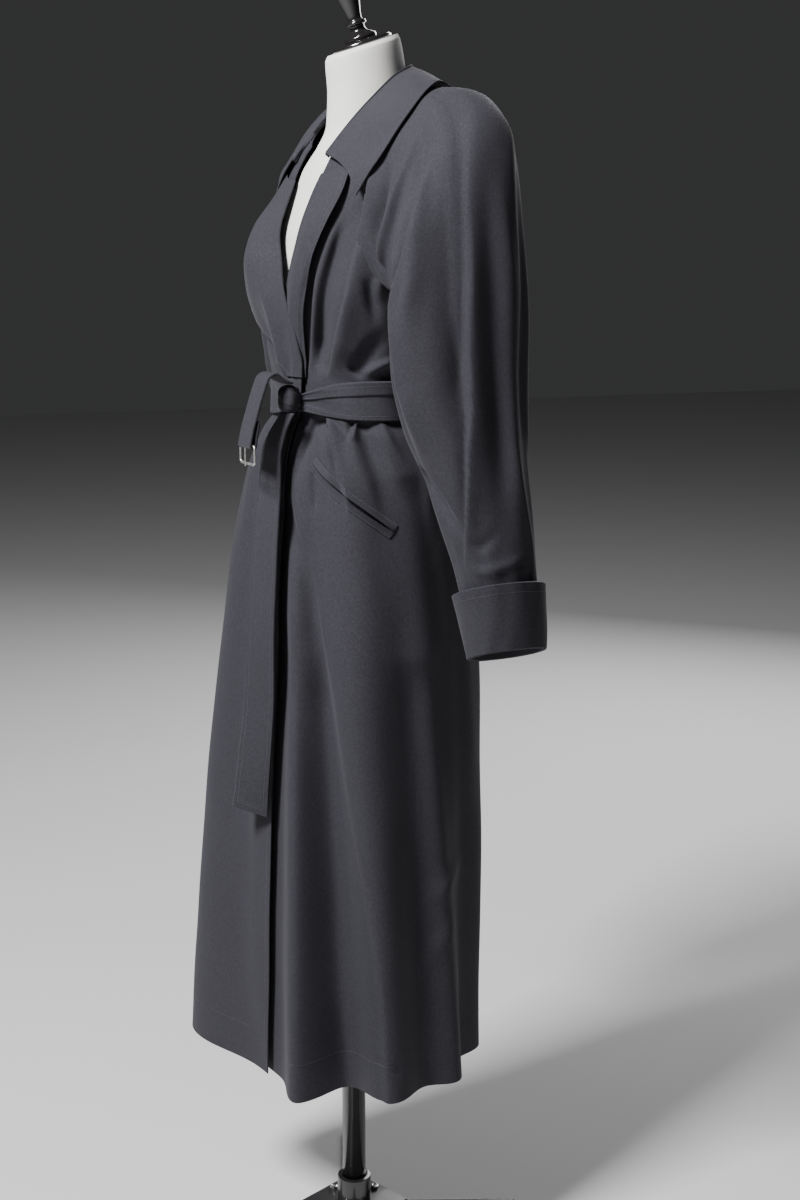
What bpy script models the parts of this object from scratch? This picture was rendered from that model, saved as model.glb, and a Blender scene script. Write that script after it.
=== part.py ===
"""A belted trench coat on a limbless dress form with a cross-foot stand.

Run with: blender --background --python part.py

Metres, +Z up. The origin is on the floor under the pole's axis. The coat's front
faces -Y, and the wearer's left is +X. Round the body, an angle of 0 degrees is the
centre front, 90 the wearer's left side, 180 the centre back and -90 the right side.
The right front laps over the left front, and a cloth belt ties them together.
"""

import math
from collections import namedtuple

import bmesh
import bpy
import numpy as np
from mathutils import Matrix, Vector
from mathutils.bvhtree import BVHTree

# ---------------------------------------------------------------------------
# Driving dimensions, in metres and degrees
# ---------------------------------------------------------------------------
CLOTH = 0.0020  # the coat's single wall
DOUBLE_CLOTH = 0.0030  # belt and cuffs, which are sewn from two layers
SEAM_GAP = 0.0003  # between pieces that meet at a seam
LAY_GAP = 0.0004  # between a piece and the panel that it lies on

HEM_HEIGHT = 0.268
WAIST_HEIGHT = 1.165
UNDERARM_HEIGHT = 1.300
NECK_HEIGHT = 1.515
SIDE_SEAM = 97.0  # angle of the side seams

BELT_WIDTH = 0.046
BELT_CLEARANCE = 0.0014
BELT_EASE = 32.0  # degrees over which the belt comes in from the lap's edge to the left front
BELT_COLUMNS = 44
BELT_SPREAD = 0.0010  # how far its edges stand off
POLE_RADIUS = 0.0165

SKIRT_ROWS = (0.268, 0.32, 0.40, 0.50, 0.60, 0.70, 0.79, 0.87, 0.94, 1.00, 1.05,
              1.09, 1.12, 1.142, 1.188, 1.215, 1.245, 1.272, UNDERARM_HEIGHT)
YOKE_STEPS = 10  # rows from the underarm to the neck, shared by panels and sleeves
FRONT_COLUMNS = 22
BACK_COLUMNS = 26

# The coat round the body without its folds: height, half width, front and back
# depth from the pole's axis, how far the ring drops in front and rises behind,
# and the squareness of the ring (2 is an ellipse).
Ring = namedtuple("Ring", "height half_width front back drop rise square")
COAT_RINGS = (
    Ring(0.268, 0.186, 0.141, 0.149, 0.000, 0.000, 2.1),
    Ring(0.600, 0.181, 0.130, 0.156, 0.000, 0.000, 2.1),
    Ring(0.790, 0.175, 0.120, 0.158, 0.000, 0.000, 2.1),
    Ring(0.966, 0.166, 0.111, 0.152, 0.000, 0.000, 2.1),
    Ring(1.064, 0.155, 0.104, 0.138, 0.000, 0.000, 2.1),
    Ring(1.120, 0.140, 0.094, 0.112, 0.000, 0.000, 2.1),
    Ring(1.142, 0.130, 0.088, 0.096, 0.000, 0.000, 2.0),
    Ring(1.188, 0.130, 0.086, 0.095, 0.000, 0.000, 2.0),
    Ring(1.230, 0.141, 0.088, 0.102, 0.000, 0.000, 2.0),
    Ring(1.300, 0.160, 0.096, 0.118, 0.000, 0.000, 2.0),
    Ring(1.360, 0.166, 0.091, 0.127, 0.002, 0.002, 2.0),
    Ring(1.420, 0.156, 0.074, 0.126, 0.012, 0.010, 2.0),
    Ring(1.470, 0.126, 0.058, 0.115, 0.030, 0.021, 2.0),
    Ring(1.500, 0.095, 0.049, 0.100, 0.048, 0.031, 2.0),
    Ring(1.515, 0.070, 0.044, 0.090, 0.060, 0.036, 2.0),
)

# Folds that hang from the belt to the hem. Width is the half width of a rounded
# fold, depth is at the hem (positive stands out), and the fold starts at top.
SkirtFold = namedtuple("SkirtFold", "waist_angle hem_angle waist_width hem_width depth top growth")
SKIRT_FOLDS = (
    SkirtFold(-34, -38, 20, 25, 0.077, 1.138, 0.60),
    SkirtFold(33, 46, 8, 10, 0.040, 1.13, 0.80),
    SkirtFold(46, 65, 8, 10, -0.013, 1.136, 0.60),
    SkirtFold(62, 90, 13, 15, 0.012, 1.12, 0.70),
    SkirtFold(95, 113, 8, 10, 0.024, 1.10, 0.90),
    SkirtFold(120, 131, 8, 10, -0.012, 1.12, 0.70),
    SkirtFold(146, 151, 9, 11, 0.018, 1.12, 0.80),
    SkirtFold(178, 176, 10, 12, -0.014, 1.13, 0.70),
    SkirtFold(-150, -155, 9, 11, 0.016, 1.12, 0.80),
    SkirtFold(-124, -133, 8, 10, -0.011, 1.12, 0.70),
    SkirtFold(-98, -112, 8, 10, 0.022, 1.10, 0.90),
    SkirtFold(-74, -84, 8, 10, -0.006, 1.12, 0.70),
)

# Gathers that the belt draws in: angle at the belt, angle at the far end, half
# width, depth just off the belt, and the height where the gather ends.
Gather = namedtuple("Gather", "belt_angle end_angle width depth end")
GATHERS = (
    Gather(54, 84, 7, 0.010, 1.50),
    Gather(44, 66, 8, -0.014, 1.46),
    Gather(74, 82, 6, -0.005, 1.28),
    Gather(-20, -34, 7, 0.007, 1.34),
    Gather(-32, -46, 6, -0.006, 1.32),
    Gather(-46, -58, 7, 0.008, 1.38),
    Gather(-62, -72, 6, -0.006, 1.30),
    Gather(112, 104, 8, 0.006, 1.32),
    Gather(134, 128, 7, -0.006, 1.30),
    Gather(158, 156, 8, 0.007, 1.36),
    Gather(180, 180, 8, -0.007, 1.34),
    Gather(-157, -155, 8, 0.007, 1.35),
    Gather(-133, -128, 7, -0.006, 1.30),
    Gather(-110, -103, 8, 0.006, 1.32),
    Gather(40, 33, 5, -0.007, 1.06),
    Gather(52, 54, 5, 0.006, 1.05),
    Gather(60, 66, 5, -0.007, 1.03),
    Gather(72, 90, 6, -0.008, 1.00),
    Gather(-26, -24, 6, -0.006, 1.06),
    Gather(-60, -66, 6, -0.007, 1.04),
    Gather(126, 128, 7, -0.006, 1.05),
    Gather(165, 165, 7, -0.006, 1.05),
    Gather(-165, -165, 7, -0.006, 1.05),
    Gather(-122, -124, 7, -0.006, 1.05),
)
GATHER_REACH = 0.05  # how far above or below the belt a gather is deepest

# The front edges: below the belt they hang, above it they turn out into the
# lapels along the roll lines. Angles of each edge round the body.
Edge = namedtuple("Edge", "height left right lap")
FRONT_EDGES = (
    Edge(0.268, -14, 20.0, 0.010),
    Edge(0.600, -14, 22.0, 0.012),
    Edge(0.900, -13, 24.0, 0.012),
    Edge(1.080, -10, 25.5, 0.009),
    Edge(1.165, -4, 30.0, 0.0075),
    Edge(1.200, 3, 31.0, 0.0078),
    Edge(1.253, 10, 26.0, 0.0080),
    Edge(1.290, 16, 20.0, 0.0080),
    Edge(1.334, 24, 9.0, 0.0060),
    Edge(1.362, 29, -1.0, 0.004),
    Edge(1.403, 34, -11.0, 0.003),
    Edge(1.440, 41, -19.0, 0.002),
    Edge(1.482, 51, -36.0, 0.001),
    Edge(1.515, 60, -52.0, 0.000),
)
LAP_STARTS, LAP_FULL = -62.0, -18.0  # angles where the right front starts to stand off

# The raglan seams, from the underarm up to the neck, as angles round the body.
Raglan = namedtuple("Raglan", "height front back")
RAGLANS = (
    Raglan(1.300, 97, 97),
    Raglan(1.330, 87, 102),
    Raglan(1.360, 80, 108),
    Raglan(1.420, 75, 117),
    Raglan(1.470, 73, 126),
    Raglan(1.500, 76, 134),
    Raglan(1.515, 84, 146),
)

# Sleeve sections from the shoulder to the hem inside the cuff. Each runs from a
# top point to an under point, and reaches half_depth fore and aft of middle_y.
SleeveRing = namedtuple("SleeveRing", "top_x top_z under_x under_z middle_y skew half_depth")
SLEEVE_RINGS = (
    SleeveRing(0.108, 1.541, 0.168, 1.294, 0.036, 0.028, 0.074),
    SleeveRing(0.150, 1.538, 0.174, 1.288, 0.040, 0.026, 0.075),
    SleeveRing(0.200, 1.531, 0.183, 1.276, 0.045, 0.022, 0.073),
    SleeveRing(0.244, 1.508, 0.190, 1.262, 0.045, 0.020, 0.070),
    SleeveRing(0.275, 1.464, 0.195, 1.245, 0.039, 0.015, 0.072),
    SleeveRing(0.292, 1.395, 0.199, 1.215, 0.034, 0.012, 0.078),
    SleeveRing(0.299, 1.310, 0.203, 1.170, 0.035, 0.010, 0.081),
    SleeveRing(0.302, 1.220, 0.208, 1.118, 0.041, 0.004, 0.077),
    SleeveRing(0.306, 1.130, 0.216, 1.065, 0.055, 0.000, 0.066),
    SleeveRing(0.311, 1.050, 0.226, 1.010, 0.066, 0.000, 0.057),
    SleeveRing(0.316, 0.985, 0.236, 0.957, 0.075, 0.000, 0.049),
    SleeveRing(0.319, 0.922, 0.243, 0.892, 0.083, 0.000, 0.045),
    SleeveRing(0.320, 0.884, 0.246, 0.856, 0.087, 0.000, 0.045),
)
CUFF_RING = 10.35  # where the turned-up cuff's top edge lies, in sleeve rings
CUFF_FLARE = 0.0065  # how far the cuff's top edge stands off the sleeve
NECK_ARC = 25.0  # half angle of a sleeve's stretch along the neck, at its top
SLEEVE_SQUARE = 2.15
UNDERARM_REACH, UNDERARM_TURN = 26.0, 0.75  # where and how far seam normals turn under the arm
RIGHT_ARM_BACK = 0.018  # the right arm hangs this much further back
ARM_BACK_FULL = 6.0  # the ring from which it does so fully

# Long soft creases down the sleeve: angle at the shoulder and the wrist from the
# sleeve's top line (90 is its back), half width, depth, and first and last ring.
Crease = namedtuple("Crease", "shoulder wrist width depth first last")
SLEEVE_CREASES = (
    Crease(-48, -62, 11, -0.007, 1.0, 6.5),
    Crease(-22, -20, 11, -0.006, 1.5, 8.0),
    Crease(-86, -92, 12, 0.008, 3.0, 6.8),
    Crease(-112, -104, 10, -0.008, 3.5, 8.0),
    Crease(24, 18, 12, 0.005, 4.0, 10.0),
    Crease(52, 48, 11, -0.006, 3.0, 9.5),
    Crease(100, 96, 12, 0.005, 4.0, 9.0),
    Crease(130, 126, 11, -0.007, 3.0, 8.0),
)

# Turned-out lapels: height, angle of each outer edge, lift of the middle and of
# the edge off the panel below.
Lapel = namedtuple("Lapel", "height left_edge right_edge left_lift right_lift")
LAPELS = (
    Lapel(1.192, 34.0, 14.0, 0.0005, 0.0010),
    Lapel(1.225, 35.0, -6.0, 0.0015, 0.0030),
    Lapel(1.253, 36.5, -24.0, 0.0030, 0.0080),
    Lapel(1.300, 42.0, -42.0, 0.0045, 0.0190),
    Lapel(1.345, 49.0, -50.0, 0.0050, 0.0270),
    Lapel(1.385, 57.0, -57.0, 0.0050, 0.0220),
    Lapel(1.430, 66.0, -65.0, 0.0035, 0.0080),
    Lapel(1.456, 69.0, -68.0, 0.0015, 0.0030),
)
LAPEL_COLUMNS = 5
LAPEL_BREAK = 0.6  # share of a lapel's width over which it lifts off the panel

# The collar, from its front end (0) to the centre back (1): the place of its
# neck seam on the coat, and the fold and the outer edge of the fall, each as
# x, y, z on the wearer's left.
CollarSection = namedtuple("CollarSection", "share seam_angle seam_height fold edge")
COLLAR = (
    CollarSection(0.00, 50, 1.480, (0.0600, -0.0530, 1.4620), (0.1430, -0.0500, 1.4060)),
    CollarSection(0.18, 66, 1.515, (0.0640, -0.0310, 1.4900), (0.1620, -0.0290, 1.4450)),
    CollarSection(0.40, 90, 1.515, (0.0650, 0.0060, 1.5290), (0.1690, 0.0060, 1.4980)),
    CollarSection(0.62, 122, 1.515, (0.0570, 0.0440, 1.5600), (0.1460, 0.0600, 1.5400)),
    CollarSection(0.82, 150, 1.515, (0.0340, 0.0720, 1.5720), (0.0840, 0.1060, 1.5360)),
    CollarSection(1.00, 180, 1.515, (0.0000, 0.0820, 1.5750), (0.0000, 0.1270, 1.5180)),
)
COLLAR_COLUMNS = 12  # from a front end to the centre back
FOLD_RADIUS = 0.0030
COLLAR_SEAM = 0.0022  # from the middle of the coat's wall to the collar's
COLLAR_BOW = 0.0045  # how far the fall is rounded up
CLEAR_REACH = 0.12
COLLAR_LAY = 0.0019  # the fall clears what it lies on by this, so that flat facets stay clear

# Slanted pocket welts: the middle line of each pocket from its upper, inner end
# to its lower, outer end.
PocketPoint = namedtuple("PocketPoint", "share angle height")
POCKET_LINE = (
    PocketPoint(0.0, 44.5, 1.089),
    PocketPoint(0.5, 67.0, 1.046),
    PocketPoint(1.0, 88.0, 1.006),
)
WELT_WIDTH = 0.009
WELT_PARTING = 0.0016
WELT_LAY = 0.0010
WELT_STEPS = 10

# The picture-side directions that the belt's free ends are laid out in: along is
# level and runs past the front, out points away from the front's left half.
ENDS_AZIMUTH = 68.0
ALONG = np.array([math.cos(math.radians(ENDS_AZIMUTH)), math.sin(math.radians(ENDS_AZIMUTH)), 0.0])
OUT = np.array([math.sin(math.radians(ENDS_AZIMUTH)), -math.cos(math.radians(ENDS_AZIMUTH)), 0.0])

KNOT_ANGLE = 28.0
KNOT_SIZE = (0.026, 0.022, 0.0344)
KNOT_BALL, KNOT_ROUNDNESS = 0.56, 0.62  # a ball's radius in the knot's cube, and how far towards it

# The long end: height, place along and out, and how far its face turns outwards.
TailPoint = namedtuple("TailPoint", "height along out facing")
TAIL = (
    TailPoint(1.1475, -0.0780, 0.0900, 0.50),
    TailPoint(1.120, -0.0920, 0.0830, 0.52),
    TailPoint(1.095, -0.0990, 0.0820, 0.54),
    TailPoint(1.066, -0.1000, 0.0850, 0.58),
    TailPoint(0.965, -0.1090, 0.0940, 0.66),
    TailPoint(0.790, -0.1180, 0.1000, 0.82),
    TailPoint(0.634, -0.1320, 0.1010, 0.96),
)
TAIL_GATHERED = 0.7  # share of its width at the knot
TAIL_STEPS = 16
TAIL_SLANT = 0.012  # the end is cut on a slant

# The short end rises from the knot, turns over and hangs down to its buckle. Past
# the buckle's bar its tip is sewn back up behind it. Along runs level towards the
# coat, at right angles to the strap's width.
ShortPoint = namedtuple("ShortPoint", "along height")
SHORT_END = (
    ShortPoint(0.0130, 1.1857),
    ShortPoint(0.0030, 1.1898),
    ShortPoint(-0.0085, 1.1975),
    ShortPoint(-0.0165, 1.1940),
    ShortPoint(-0.0240, 1.1780),
    ShortPoint(-0.0325, 1.1520),
    ShortPoint(-0.0400, 1.1270),
    ShortPoint(-0.0435, 1.1110),
)
SHORT_STEPS = 16
SHORT_FACING = -24.0  # degrees that the strap's width turns from OUT
SHORT_WIDTH = 0.040
SHORT_ROOT = np.array([0.0500, -0.1180, 0.0])
TIP_LENGTH = 0.030  # how far the tip runs back up from the bar
TIP_LEAN = 0.55  # share of the fold's room that the turned-up tip leans across
TIP_STEPS = 4
TURN_STEPS = 8

# The buckle hangs from its bar in the strap's foot, and its prong turns on the bar.
BUCKLE_WIRE = 0.0016
BUCKLE_LENGTH = 0.023
BUCKLE_SIDE = 0.0030  # room between the strap's edge and the frame's arm
BUCKLE_CORNER = 0.004
PRONG_WIRE = 0.0011
PRONG_ROOM = 0.0004  # between the prong and the bars
PRONG_PAST = 0.0020  # how far its tip passes the outer bar
SLOT_WIDTH = 0.0070  # the slot in the strap's foot where the prong sits
SLOT_REACH = 0.0070  # how far the slot runs each way from the bar
BAR_ROOM = 0.0005  # between the bar and the strap round it

# The dress form: each ring is a whole ellipse round its own centre, and its plane
# slopes down to the front by the fall over its half depth.
FormRing = namedtuple("FormRing", "height half_width front back fall square")
FORM_RINGS = (
    FormRing(0.8150, 0.100, 0.055, 0.065, 0.000, 2.0),
    FormRing(0.8200, 0.135, 0.072, 0.088, 0.000, 2.1),
    FormRing(0.8400, 0.150, 0.080, 0.102, 0.000, 2.2),
    FormRing(0.9400, 0.156, 0.086, 0.112, 0.000, 2.2),
    FormRing(1.0400, 0.138, 0.082, 0.100, 0.000, 2.1),
    FormRing(1.1100, 0.114, 0.074, 0.078, 0.000, 2.0),
    FormRing(1.1650, 0.106, 0.070, 0.070, 0.000, 2.0),
    FormRing(1.2200, 0.112, 0.075, 0.076, 0.000, 2.0),
    FormRing(1.3000, 0.134, 0.088, 0.094, 0.000, 2.0),
    FormRing(1.3600, 0.142, 0.083, 0.108, 0.002, 2.0),
    FormRing(1.4100, 0.146, 0.069, 0.114, 0.009, 2.1),
    FormRing(1.4400, 0.134, 0.060, 0.112, 0.015, 2.1),
    FormRing(1.4650, 0.108, 0.0535, 0.1060, 0.021, 2.0),
    FormRing(1.4850, 0.082, 0.0470, 0.0980, 0.027, 2.0),
    FormRing(1.5020, 0.060, 0.0385, 0.0860, 0.029, 2.0),
    FormRing(1.5250, 0.0505, 0.0265, 0.0800, 0.025, 2.0),
    FormRing(1.5600, 0.0480, 0.0245, 0.0740, 0.018, 2.0),
    FormRing(1.5940, 0.0470, 0.0270, 0.0670, 0.0160, 2.0),
    FormRing(1.6005, 0.0440, 0.0240, 0.0640, 0.0150, 2.0),
)
FORM_COLUMNS = 26

# Turned pieces: radius and height of each profile point from its seat, top first.
CAP_PROFILE = ((0.0000, 0.0060), (0.0330, 0.0060), (0.0375, 0.0045), (0.0385, 0.0000), (0.0000, 0.0000))
FINIAL_PROFILE = (
    (0.0000, 0.0850), (0.0080, 0.0835), (0.0140, 0.0780), (0.0165, 0.0690), (0.0160, 0.0600),
    (0.0130, 0.0470), (0.0100, 0.0340), (0.0090, 0.0250), (0.0125, 0.0225), (0.0125, 0.0190),
    (0.0095, 0.0170), (0.0105, 0.0110), (0.0165, 0.0070), (0.0205, 0.0040), (0.0205, 0.0000),
    (0.0000, 0.0000),
)
TURNED_STEPS = 16

CROSS_LENGTH = 0.460
CROSS_WIDTH = 0.028
CROSS_THICK = 0.010
FLANGE_SIDE = 0.108
FLANGE_THICK = 0.010
FLANGE_EDGE = 0.0015
SOCKET_RADIUS = 0.0235
SOCKET_HEIGHT = 0.040
BOLT_CIRCLE = 0.0416
BOLT_RADIUS = 0.0055
BOLT_HEIGHT = 0.0050
POLE_TOP = 0.8145

COLOURS = {
    "cloth": ((0.030, 0.029, 0.036, 1.0), 0.85, 0.0),
    "form_cloth": ((0.72, 0.70, 0.66, 1.0), 0.80, 0.0),
    "lacquer": ((0.008, 0.007, 0.007, 1.0), 0.20, 0.0),
    "chrome": ((0.60, 0.60, 0.60, 1.0), 0.18, 1.0),
    "black_metal": ((0.012, 0.012, 0.012, 1.0), 0.30, 0.6),
}


# ---------------------------------------------------------------------------
# Tables and curves
# ---------------------------------------------------------------------------
def smooth_curve(stations, values, where):
    """Values at where, on a smooth curve through the stations that never overshoots."""
    x = np.asarray(stations, float)
    y = np.asarray(values, float)
    step = np.diff(x)
    slope = np.diff(y) / step
    tangent = np.zeros_like(y)
    tangent[0], tangent[-1] = slope[0], slope[-1]
    for i in range(1, len(x) - 1):
        if slope[i - 1] * slope[i] > 0:
            near, far = 2 * step[i] + step[i - 1], step[i] + 2 * step[i - 1]
            tangent[i] = (near + far) / (near / slope[i - 1] + far / slope[i])
    where = np.clip(np.asarray(where, float), x[0], x[-1])
    i = np.clip(np.searchsorted(x, where, side="right") - 1, 0, len(step) - 1)
    t = (where - x[i]) / step[i]
    rise = (1 + 2 * t) * (1 - t) ** 2 * y[i] + t * (1 - t) ** 2 * step[i] * tangent[i]
    return rise + t**2 * (3 - 2 * t) * y[i + 1] + t**2 * (t - 1) * step[i] * tangent[i + 1]


def from_table(table, key, name, where):
    """One named column of a table, read at where along its key column."""
    return smooth_curve([getattr(row, key) for row in table], [getattr(row, name) for row in table], where)


def ease(value):
    """0 to 1 with soft ends."""
    value = np.clip(value, 0.0, 1.0)
    return value * value * (3 - 2 * value)


def bump(angle, centre, half_width):
    """A rounded bump round the body, 1 at its centre."""
    apart = (angle - centre + 180.0) % 360.0 - 180.0
    return np.exp(-((apart / half_width) ** 2))


def unit(vectors):
    return vectors / np.maximum(np.linalg.norm(vectors, axis=-1, keepdims=True), 1e-12)


# ---------------------------------------------------------------------------
# The coat's surface
# ---------------------------------------------------------------------------
def ring_radius(rings, angle, height):
    """Distance of a ring from the axis at an angle, without folds."""
    half_width, front, back, square = (
        from_table(rings, "height", name, height) for name in ("half_width", "front", "back", "square")
    )
    sine, cosine = np.sin(np.radians(angle)), np.cos(np.radians(angle))
    depth = np.where(cosine > 0, front, back)
    return ((np.abs(sine) / half_width) ** square + (np.abs(cosine) / depth) ** square) ** (-1 / square)


def ring_point(rings, angle, height, radius):
    sine, cosine = np.sin(np.radians(angle)), np.cos(np.radians(angle))
    drop, rise = (from_table(rings, "height", name, height) for name in ("drop", "rise"))
    level = height - np.where(cosine > 0, drop, rise) * cosine
    return np.stack([radius * sine, -radius * cosine, level], axis=-1)


def skirt_folds(angle, height):
    total = np.zeros_like(angle)
    for fold in SKIRT_FOLDS:
        down = np.clip((fold.top - height) / (fold.top - HEM_HEIGHT), 0, 1)
        centre = fold.waist_angle + (fold.hem_angle - fold.waist_angle) * down**0.8
        width = fold.waist_width + (fold.hem_width - fold.waist_width) * down
        total += fold.depth * down**fold.growth * bump(angle, centre, width)
    return total


def gathers(angle, height):
    total = np.zeros_like(angle)
    off_belt = np.abs(height - WAIST_HEIGHT) - BELT_WIDTH / 2
    grown = ease(off_belt / GATHER_REACH)
    for gather in GATHERS:
        share = (height - WAIST_HEIGHT) / (gather.end - WAIST_HEIGHT)
        centre = gather.belt_angle + (gather.end_angle - gather.belt_angle) * np.clip(share, 0, 1)
        fade = np.where(share > 0, ease(1 - share) * grown, 0.0)
        total += gather.depth * fade * bump(angle, centre, gather.width)
    return total


def lap_lift(angle, height):
    """How far the right front stands off, so that it clears the left front below it."""
    lap = from_table(FRONT_EDGES, "height", "lap", height)
    return lap * ease((angle - LAP_STARTS) / (LAP_FULL - LAP_STARTS))


def coat_point(angle, height, lift=0.0, right_front=False):
    """A point of the coat's outer face, moved out by lift."""
    angle, height = np.broadcast_arrays(np.asarray(angle, float), np.asarray(height, float))
    plain = ring_radius(COAT_RINGS, angle, height)
    radius = plain + skirt_folds(angle, height) + gathers(angle, height) + lift
    if right_front:
        radius = radius + lap_lift(angle, height)
    return ring_point(COAT_RINGS, angle, height, radius)


def coat_normal(angle, height, right_front=False):
    """The way out of the coat's outer face."""
    turn, climb = 0.5, 0.002
    before, after, below, above = (
        coat_point(angle + a, height + h, 0, right_front)
        for a, h in ((-turn, 0), (turn, 0), (0, -climb), (0, climb))
    )
    return unit(np.cross(after - before, above - below))


# ---------------------------------------------------------------------------
# Blender helpers
# ---------------------------------------------------------------------------
def clear_scene():
    for obj in list(bpy.data.objects):
        bpy.data.objects.remove(obj, do_unlink=True)


def new_collection(name):
    collection = bpy.data.collections.new(name)
    bpy.context.scene.collection.children.link(collection)
    return collection


def material_of(name):
    material = bpy.data.materials.get(name)
    if material is None:
        colour, roughness, metallic = COLOURS[name]
        material = bpy.data.materials.new(name)
        material.use_nodes = True
        shader = material.node_tree.nodes["Principled BSDF"]
        shader.inputs["Base Color"].default_value = colour
        shader.inputs["Roughness"].default_value = roughness
        shader.inputs["Metallic"].default_value = metallic
    return material


def add_object(name, mesh, finish, collection, smooth_angle=40):
    mesh.materials.clear()
    mesh.materials.append(material_of(finish))
    mesh.shade_smooth()
    mesh.set_sharp_from_angle(angle=math.radians(smooth_angle))
    obj = bpy.data.objects.new(name, mesh)
    collection.objects.link(obj)
    return obj


def mesh_from_faces(name, points, faces):
    """A closed mesh with its faces pointing out."""
    mesh = bpy.data.meshes.new(name)
    mesh.from_pydata([tuple(p) for p in points], [], faces)
    shape = bmesh.new()
    shape.from_mesh(mesh)
    if shape.calc_volume(signed=True) < 0:
        bmesh.ops.reverse_faces(shape, faces=shape.faces)
    shape.to_mesh(mesh)
    shape.free()
    return mesh


def wall_mesh(name, outer, inner, closed=False):
    """A wall between two point grids (rows, columns, 3). Closed walls join their ends into a tube."""
    rows, columns = outer.shape[:2]
    points = np.concatenate([outer.reshape(-1, 3), inner.reshape(-1, 3)])
    under = rows * columns
    spans = columns if closed else columns - 1
    faces = []
    for r in range(rows - 1):
        for c in range(spans):
            a, b = r * columns + c, r * columns + (c + 1) % columns
            d, e = a + columns, b + columns
            faces.append((a, b, e, d))
            faces.append((a + under, d + under, e + under, b + under))
    for c in range(spans):
        for row, turned in ((0, True), (rows - 1, False)):
            a, b = row * columns + c, row * columns + (c + 1) % columns
            rim = (a, b, b + under, a + under)
            faces.append(rim[::-1] if turned else rim)
    if not closed:
        for r in range(rows - 1):
            for column, turned in ((0, False), (columns - 1, True)):
                a, d = r * columns + column, (r + 1) * columns + column
                rim = (a, d, d + under, a + under)
                faces.append(rim[::-1] if turned else rim)
    return mesh_from_faces(name, points, faces)


def grid_normals(grid, closed=False):
    """The way out of a point grid, from its own neighbours."""
    if closed:
        around = np.roll(grid, -1, axis=1) - np.roll(grid, 1, axis=1)
    else:
        around = np.gradient(grid, axis=1)
    return unit(np.cross(around, np.gradient(grid, axis=0)))


def tube_mesh(name, grid):
    """A closed solid from rings (rows, columns, 3), capped at both ends."""
    rows, columns = grid.shape[:2]
    faces = []
    for r in range(rows - 1):
        for c in range(columns):
            a, b = r * columns + c, r * columns + (c + 1) % columns
            faces.append((a, b, b + columns, a + columns))
    faces.append(tuple(reversed(range(columns))))
    faces.append(tuple(range((rows - 1) * columns, rows * columns)))
    return mesh_from_faces(name, grid.reshape(-1, 3), faces)


# ---------------------------------------------------------------------------
# Fronts and back
# ---------------------------------------------------------------------------
def yoke_heights():
    return np.linspace(UNDERARM_HEIGHT, NECK_HEIGHT, YOKE_STEPS + 1)


def panel_heights():
    return np.concatenate([SKIRT_ROWS, yoke_heights()[1:]])


def gap_angle(height, angle, gap):
    """The angle that a gap takes up round the body."""
    return np.degrees(gap / ring_radius(COAT_RINGS, angle, height))


def seam_angle(height, side, behind):
    """The panel's outer edge: the side seam below the underarm, the raglan seam above it."""
    name = "back" if behind else "front"
    raglan = from_table(RAGLANS, "height", name, height)
    angle = np.where(height > UNDERARM_HEIGHT, raglan, SIDE_SEAM)
    gap = np.where(height > UNDERARM_HEIGHT - 0.001, 2.0 * SEAM_GAP, 0.6 * SEAM_GAP)
    away = gap_angle(height, side * angle, gap)
    return side * (angle + (away if behind else -away))


def panel(name, first, last, columns, collection, right_front=False):
    """A wall of the coat between two edges, given as angles at each height."""
    heights = panel_heights()
    heights = np.where(heights == UNDERARM_HEIGHT, UNDERARM_HEIGHT - 2 * SEAM_GAP, heights)
    share = np.linspace(0, 1, columns + 1)
    angles = first(heights)[:, None] * (1 - share) + last(heights)[:, None] * share
    level = np.broadcast_to(heights[:, None], angles.shape)
    outer = coat_point(angles, level, 0.0, right_front)
    inner = outer - CLOTH * coat_normal(angles, level, right_front)
    return add_object(name, wall_mesh(name, outer, inner), "cloth", collection)


def make_panels(collection):
    def left_edge(height):
        return from_table(FRONT_EDGES, "height", "left", height)

    def right_edge(height):
        return from_table(FRONT_EDGES, "height", "right", height)

    panel("front_left", left_edge, lambda h: seam_angle(h, 1, False), FRONT_COLUMNS, collection)
    panel("front_right", lambda h: seam_angle(h, -1, False), right_edge, FRONT_COLUMNS + 2, collection, True)
    panel("back", lambda h: seam_angle(h, 1, True), lambda h: 360 + seam_angle(h, -1, True),
          BACK_COLUMNS, collection)


# ---------------------------------------------------------------------------
# Sleeves and cuffs
# ---------------------------------------------------------------------------
def loop_layout():
    """The sleeve's points round the raglan seam: place round the sleeve, body angle and height."""
    heights = yoke_heights()
    arc_steps = 4
    front = from_table(RAGLANS, "height", "front", heights)
    back = from_table(RAGLANS, "height", "back", heights)
    arc = np.linspace(0, 1, arc_steps + 1)
    run = np.linspace(0, 1, YOKE_STEPS + 1)[1:]
    around = np.concatenate([-NECK_ARC + 2 * NECK_ARC * arc, NECK_ARC + (180 - NECK_ARC) * run,
                             180 + (180 - NECK_ARC) * run[:-1]])
    angle = np.concatenate([front[-1] + (back[-1] - front[-1]) * arc, back[::-1][1:], front[1:-1]])
    height = np.concatenate([np.full(arc_steps + 1, heights[-1]), heights[::-1][1:], heights[1:-1]])
    return around, angle, height


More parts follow.
